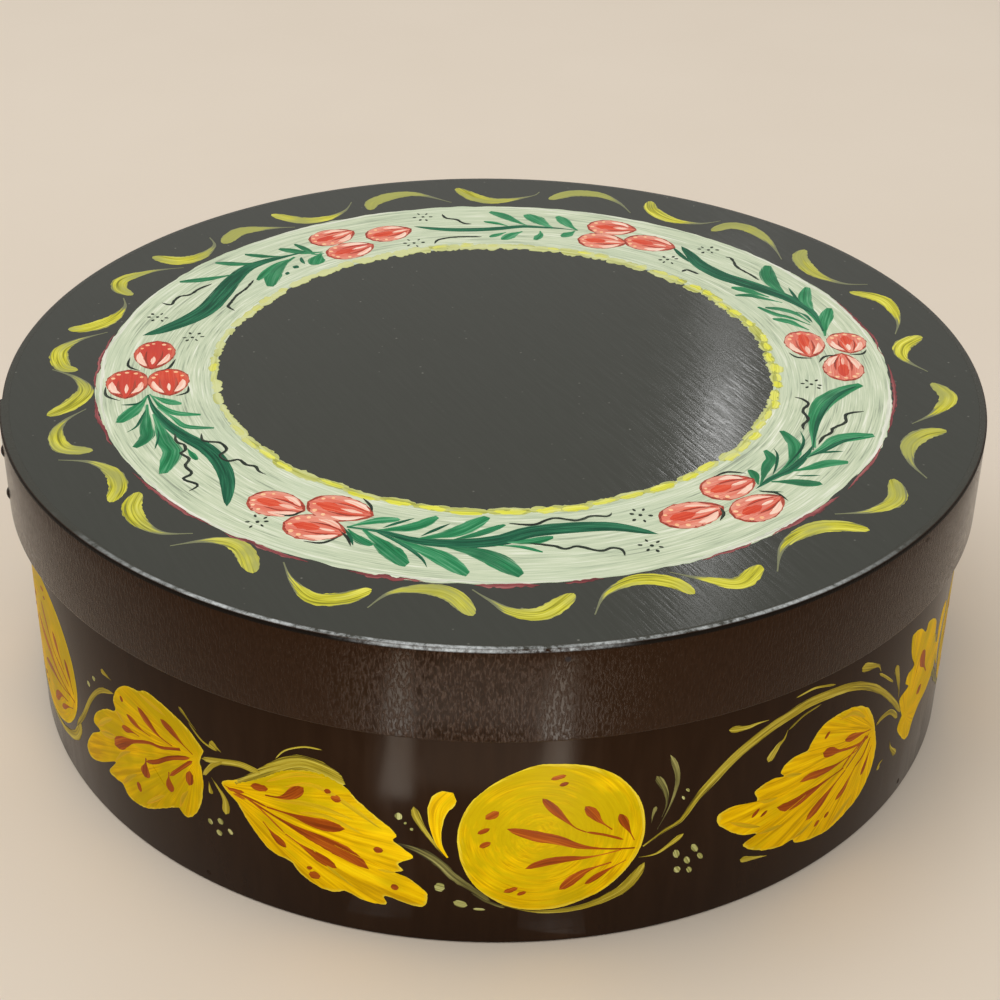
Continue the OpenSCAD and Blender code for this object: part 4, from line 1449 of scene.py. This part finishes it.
FOLDS_RIGHT = [
    ([(303.6, 34.9), (304.9, 34.1), (306.2, 33.1)], 1.3),
    ([(300.2, 30.6), (301.5, 29.4), (303, 29)], 1.4),
    ([(300.8, 19.8), (302.3, 19.6), (304.1, 19.4)], 1.5),
    ([(305.9, 12.9), (307.3, 13.9), (308.9, 15.5)], 1.7),
    ([(296.7, 27), (298.9, 24.1), (301, 21.8)], 1.4),
    ([(311.4, 43.7), (313.8, 43.2), (316.3, 38.9)], 1.6),
    ([(311.9, 9.9), (313.6, 12.5), (315.6, 15.6)], 2.0),
    ([(317.5, 32.4), (316.1, 30.2), (313.6, 26.4)], 1.2),
]
VEINS_RIGHT = [
    ([(317.7, 33.4), (315.9, 34.4), (314.5, 35.2), (312.8, 36.1)], 2.3),
    ([(315.3, 29.8), (311.5, 29.6), (308.8, 30.3), (307.3, 30.9), (306, 30.6)], 2.4),
    ([(313.2, 26.9), (310.6, 26.5), (308, 25.5), (305.1, 24.5), (303, 25.9)], 3.2),
    ([(313.6, 25.7), (311.1, 22.2), (309.7, 19.8), (307.7, 16.7)], 3.0),
    ([(315.5, 24.8), (314.3, 21.4), (313.7, 19.4), (312.4, 17.7)], 1.9),
    ([(318.4, 27.5), (317.7, 23.7), (316.9, 19.9)], 1.6),
    ([(331.9, 32.8), (330, 38.6), (329.3, 42.6)], 4.0),
]
DROPS_RIGHT = [([(317.4, 31.5), (315.1, 31.7), (312.1, 33.6), (310.6, 35), (309.2, 36.2)], 3.0)]
TAILS_RIGHT = [
    ([(317.5, 32.4), (316.1, 30.2), (313.6, 26)], 0.6), ([(317.1, 32.2), (314.8, 30.3), (312.8, 27)], 0.6),
    ([(317.9, 30.9), (316.8, 26.5), (315.3, 24.4)], 0.6), ([(317, 32.6), (315.3, 29.8)], 0.6),
]
MARKS_RIGHT = [
    ([(310, 42), (309.2, 40.4)], 1.1), ([(300.6, 28), (299.6, 25.8)], 1.1),
    ([(301.7, 26.3), (300.8, 25)], 1.0), ([(311.5, 15.2), (310.8, 13.9)], 1.2),
    ([(310, 14.3), (309.2, 13)], 1.3), ([(330.2, 28), (330, 30.6)], 3.2),
]
VINES_RIGHT = [
    ([(286.6, 26.5), (289, 30.1), (290.7, 31.9), (292.4, 37.3), (294.4, 42.1), (297.1, 47.3),
      (300.4, 51.3), (303.6, 53.4), (306.6, 54.4), (311, 53.3), (314.3, 50.8), (317.5, 46.4),
      (320.4, 40.7), (322.8, 35), (324.8, 29.4)], 2.9),
]
THREADS_RIGHT = [
    ([(318.8, 33), (319.9, 34), (322, 33.3), (324.1, 28.7)], 1.5),
    ([(308, 52.2), (306.7, 51.9), (305.2, 51.1), (303.4, 48.8)], 0.6),
    ([(321.6, 43.1), (319.8, 46.8), (318, 50.2)], 0.7), ([(304, 57.8), (306.8, 58.1), (310, 55.9)], 0.6),
]
BUDS_RIGHT = [
    ([(300.6, 54.4), (299.2, 54.6), (297.9, 54.4), (295.6, 55.4)], 1.9),
    ([(303.4, 49), (303, 46.7), (302.2, 45.2), (301.1, 41.5)], 2.4),
    ([(318.3, 50.5), (317.7, 52.9), (316.5, 54.1), (314.3, 56.2)], 2.8),
    ([(323.6, 35.6), (323.3, 39.5), (321.8, 47.9)], 2.4),
    ([(322.9, 22.9), (323.5, 19.7), (325.2, 15.6)], 2.0),
    ([(302.3, 11.4), (300.4, 12.5), (298.6, 13.6)], 1.8),
    ([(286.2, 23.3), (288.1, 23.3), (289.6, 25.2), (291.2, 27.7)], 1.5),
    ([(321.7, 18.6), (320.9, 17.9), (320.8, 16.4)], 1.6),
]
SHOOTS_RIGHT = [
    ([(288.1, 30.9), (289.3, 36.8), (290, 43.2), (289.8, 47.9), (289, 52.4)], 1.5),
    ([(288.5, 34.3), (289, 38.1), (288.7, 42.3), (287.6, 47)], 1.9),
    ([(287.4, 33.1), (287.5, 35.5), (287.8, 37.9)], 1.0),
]
DOTS_RIGHT = [
    ([(290.3, 23.2), (290.7, 20.5)], 1.6), ([(292.3, 23.6), (293, 20.9)], 1.5),
    ([(291.6, 20.2), (292.1, 17.8)], 1.4), ([(293.1, 20.3), (293.7, 18.2)], 1.2),
    ([(290.5, 17.8), (291, 15.8)], 1.6), ([(292, 16.7), (292.4, 14.8)], 1.4),
    ([(290.7, 39.3), (291, 38.1)], 0.6), ([(291.1, 41.3), (291.5, 40.2)], 0.7),
]

STEM_LIFT = 0.04
GOLD_LIFT = 0.06
FOLD_LIFT = 0.085
VEIN_LIFT = 0.11
LEAF_FRAY = 0.22
FRUIT_FRAY = 0.1
DOT_SIZE = (6, 4)
# Turns in degrees at which the left-hand leaves and the fruit come again, and at which the fruit comes alone
WHOLE_REPEATS = (0.0, 144.0, 216.0, 288.0)
FRUIT_ALONE = 72.0
gold = []
folds = []
veins = []
stems = []
dim = []
pale = []


def lay(layer, lines, swell, lift, turn, size=(14, 3), ragged=0.1):
    """Adds strokes to a layer of the side's paint."""
    for points, width in lines:
        layer.append(stroke(on_side, round_side(points, turn), width, swell, lift, size, ragged))


def leaf(outline, form, turn, whirled=False):
    """Adds a leaf or a fruit to the gold paint."""
    middle, root, olive = form
    middle, root = round_side([middle, root], turn)
    fray = FRUIT_FRAY if whirled else LEAF_FRAY
    gold.append(fan(on_side, round_side(outline, turn), middle, root, olive, GOLD_LIFT, fray, whirled))


def left_leaves(turn):
    """Adds the two leaves left of a fruit, with their stems and dots."""
    leaf(BROAD_LEAF, BROAD_FORM, turn)
    leaf(LONG_LEAF, LONG_FORM, turn)
    lay(stems, BACK_OF_LEAF, lobe, STEM_LIFT, turn, (20, 5), 0.12)
    lay(stems, THREADS_LEFT, thread, STEM_LIFT, turn)
    lay(stems, BUDS_LEFT, comma, STEM_LIFT, turn)
    lay(pale, DOTS_LEFT, orb, STEM_LIFT, turn, DOT_SIZE)
    lay(folds, FOLDS_LEFT, lens, FOLD_LIFT, turn)
    lay(veins, VEINS_LEFT, vein, VEIN_LIFT, turn)
    lay(veins, DROPS_LEFT, tadpole, VEIN_LIFT, turn, (20, 4))
    lay(veins, TAILS_LEFT, thread, VEIN_LIFT, turn)
    lay(veins, MARKS_LEFT, orb, VEIN_LIFT, turn, DOT_SIZE, 0.3)


def fruit(turn):
    """Adds a fruit with its stem, pod and buds."""
    leaf(FRUIT, FRUIT_FORM, turn, True)
    lay(gold, GOLD_BUD, comma, GOLD_LIFT, turn, (16, 6))
    lay(dim, STEMS_FRUIT, vine, STEM_LIFT, turn, (24, 4), 0.2)
    lay(stems, PODS_FRUIT, comma, STEM_LIFT, turn, (24, 4), 0.2)
    lay(dim, THREADS_FRUIT, thread, STEM_LIFT, turn)
    lay(stems, BUDS_FRUIT, comma, STEM_LIFT, turn)
    lay(veins, VEINS_FRUIT, vein, VEIN_LIFT, turn, (18, 4))
    lay(veins, TAILS_FRUIT, thread, VEIN_LIFT, turn)
    lay(veins, MARKS_FRUIT, orb, VEIN_LIFT, turn, DOT_SIZE, 0.3)


def right_leaves(turn):
    """Adds the vine right of a fruit, with its two leaves."""
    leaf(RIGHT_LEAF, RIGHT_FORM, turn)
    leaf(FAR_LEAF, FAR_FORM, turn)
    lay(stems, VINES_RIGHT, vine, STEM_LIFT, turn, (48, 4))
    lay(stems, THREADS_RIGHT, thread, STEM_LIFT, turn)
    lay(stems, BUDS_RIGHT, comma, STEM_LIFT, turn)
    lay(dim, SHOOTS_RIGHT, comma, STEM_LIFT, turn)
    lay(pale, DOTS_RIGHT, orb, STEM_LIFT, turn, DOT_SIZE)
    lay(folds, FOLDS_RIGHT, lens, FOLD_LIFT, turn)
    lay(veins, VEINS_RIGHT, vein, VEIN_LIFT, turn)
    lay(veins, DROPS_RIGHT, tadpole, VEIN_LIFT, turn, (20, 4))
    lay(veins, TAILS_RIGHT, thread, VEIN_LIFT, turn)
    lay(veins, MARKS_RIGHT, orb, VEIN_LIFT, turn, DOT_SIZE, 0.3)


for turn in WHOLE_REPEATS:
    left_leaves(turn)
    fruit(turn)
fruit(FRUIT_ALONE)
right_leaves(0.0)
paint_layer("side_gold_leaves", gold, vine_gold, "box", "gold_paint", GOLD_LIFT)
paint_layer("side_olive_folds", folds, fold_olive, "box", "gold_paint", FOLD_LIFT)
paint_layer("side_brown_veins", veins, vein_brown, "box", "brown_paint", VEIN_LIFT)
paint_layer("side_stems", stems, stem_olive, "box", "gold_paint", STEM_LIFT)
paint_layer("side_dim_stems", dim, stem_dim, "box", "gold_paint", STEM_LIFT)
paint_layer("side_dots", pale, dot_pale, "box", "gold_paint", STEM_LIFT)

# Floor, light and camera

FLOOR_SIZE = 12.0
ROOM_TINT = (1.0, 0.985, 0.96, 1.0)
ROOM_LIGHT = 0.66
STRIP_TINT = (0.78, 0.92, 1.0)
STRIP_Z = 6.0
FOOT_LEFT = -27.5
FOOT_RIGHT = 16.0
FOOT_SLANT = 0.272
FOOT_START = -127.6
FOOT_Z = 0.3
FOOT_WIDTHS = (2.0, 5.0, 8.0, 11.0, 14.0, 17.0)
FOOT_REACH = 48.0
FOOT_SHORTER = 7.0
FOOT_POWER = 0.0000013
CAMERA_AT = (1.8 * MM, -475.9 * MM, 339.6 * MM)
CAMERA_PITCH = 31.72
CAMERA_ROLL = 0.86
CAMERA_LENS = 72.0
CAMERA_FILM = 36.0
CAMERA_NEAREST = 0.01

alone()
bpy.ops.mesh.primitive_plane_add(size=FLOOR_SIZE)
floor = bpy.context.object
floor.name = "studio_floor"
floor.data.materials.append(floor_paint("studio_floor"))

world = bpy.data.worlds.new("soft_room")
bpy.context.scene.world = world
world.use_nodes = True
room = world.node_tree.nodes["Background"].inputs
room["Color"].default_value = ROOM_TINT
room["Strength"].default_value = ROOM_LIGHT


def flat_lamp(name, spot, width, length, power):
    """A rectangular lamp that the camera doesn't see."""
    made = bpy.data.lights.new(name, "AREA")
    made.shape = "RECTANGLE"
    made.size = width
    made.size_y = length
    made.energy = power
    lamp = bpy.data.objects.new(name, made)
    lamp.location = spot
    lamp.visible_camera = False
    bpy.context.scene.collection.objects.link(lamp)
    return lamp


def soft_lamp(name, spot, target, width, length, power):
    """A lamp aimed at a place on the box."""
    lamp = flat_lamp(name, spot, width, length, power)
    lamp.rotation_euler = (Vector(target) - Vector(spot)).to_track_quat("-Z", "Y").to_euler()


def floor_strip(name, start, end, width, power):
    """A lit strip on the floor, from the box's foot outwards, that the side mirrors as a soft band."""
    start = Vector(start) * MM
    end = Vector(end) * MM
    way = end - start
    strip = flat_lamp(name, (start + end) / 2, width * MM, way.length, power)
    strip.data.color = STRIP_TINT
    strip.rotation_euler = (math.pi, 0.0, math.atan2(way.x, -way.y))


soft_lamp("soft_overhead", (-0.4, -0.1, 1.6), (0.0, 0.0, 0.05), 1.0, 1.0, 9.0)
soft_lamp("front_fill", (0.25, -1.5, 0.8), (0.0, 0.0, 0.05), 1.8, 1.2, 4.0)
soft_lamp("window_top", (0.194, 1.05, 0.86), (0.05, -0.1, 0.088), 0.04, 0.12, 0.06)
soft_lamp("window_middle", (0.194, 1.05, 0.735), (0.058, -0.05, 0.088), 0.025, 0.13, 0.13)
soft_lamp("window_low", (0.192, 1.05, 0.615), (0.062, 0.01, 0.088), 0.04, 0.12, 0.022)
floor_strip("strip_left", (-38.5, -167.0, STRIP_Z), (-75.0, -295.0, STRIP_Z), 14.0, 0.062)
floor_strip("strip_right", (27.0, -167.0, STRIP_Z), (63.7, -295.0, STRIP_Z), 14.0, 0.076)
floor_strip("strip_middle", (-3.0, -180.0, STRIP_Z), (-6.0, -300.0, STRIP_Z), 64.0, 0.054)
for k, width in enumerate(FOOT_WIDTHS):
    reach = FOOT_REACH - FOOT_SHORTER * k
    power = FOOT_POWER * width * reach
    for name, x, slant in (("foot_left_", FOOT_LEFT, -FOOT_SLANT), ("foot_right_", FOOT_RIGHT, FOOT_SLANT)):
        start = (x, FOOT_START, FOOT_Z)
        end = (x + slant * reach, FOOT_START - reach, FOOT_Z)
        floor_strip(name + str(k), start, end, width, power)

view = bpy.data.cameras.new("photo_view")
view.lens = CAMERA_LENS
view.sensor_width = CAMERA_FILM
view.clip_start = CAMERA_NEAREST
camera = bpy.data.objects.new("photo_view", view)
camera.location = CAMERA_AT
camera.rotation_mode = "ZYX"
camera.rotation_euler = (math.radians(90.0 - CAMERA_PITCH), 0.0, math.radians(CAMERA_ROLL))
bpy.context.scene.collection.objects.link(camera)
bpy.context.scene.camera = camera
bpy.context.scene.view_settings.view_transform = "Standard"
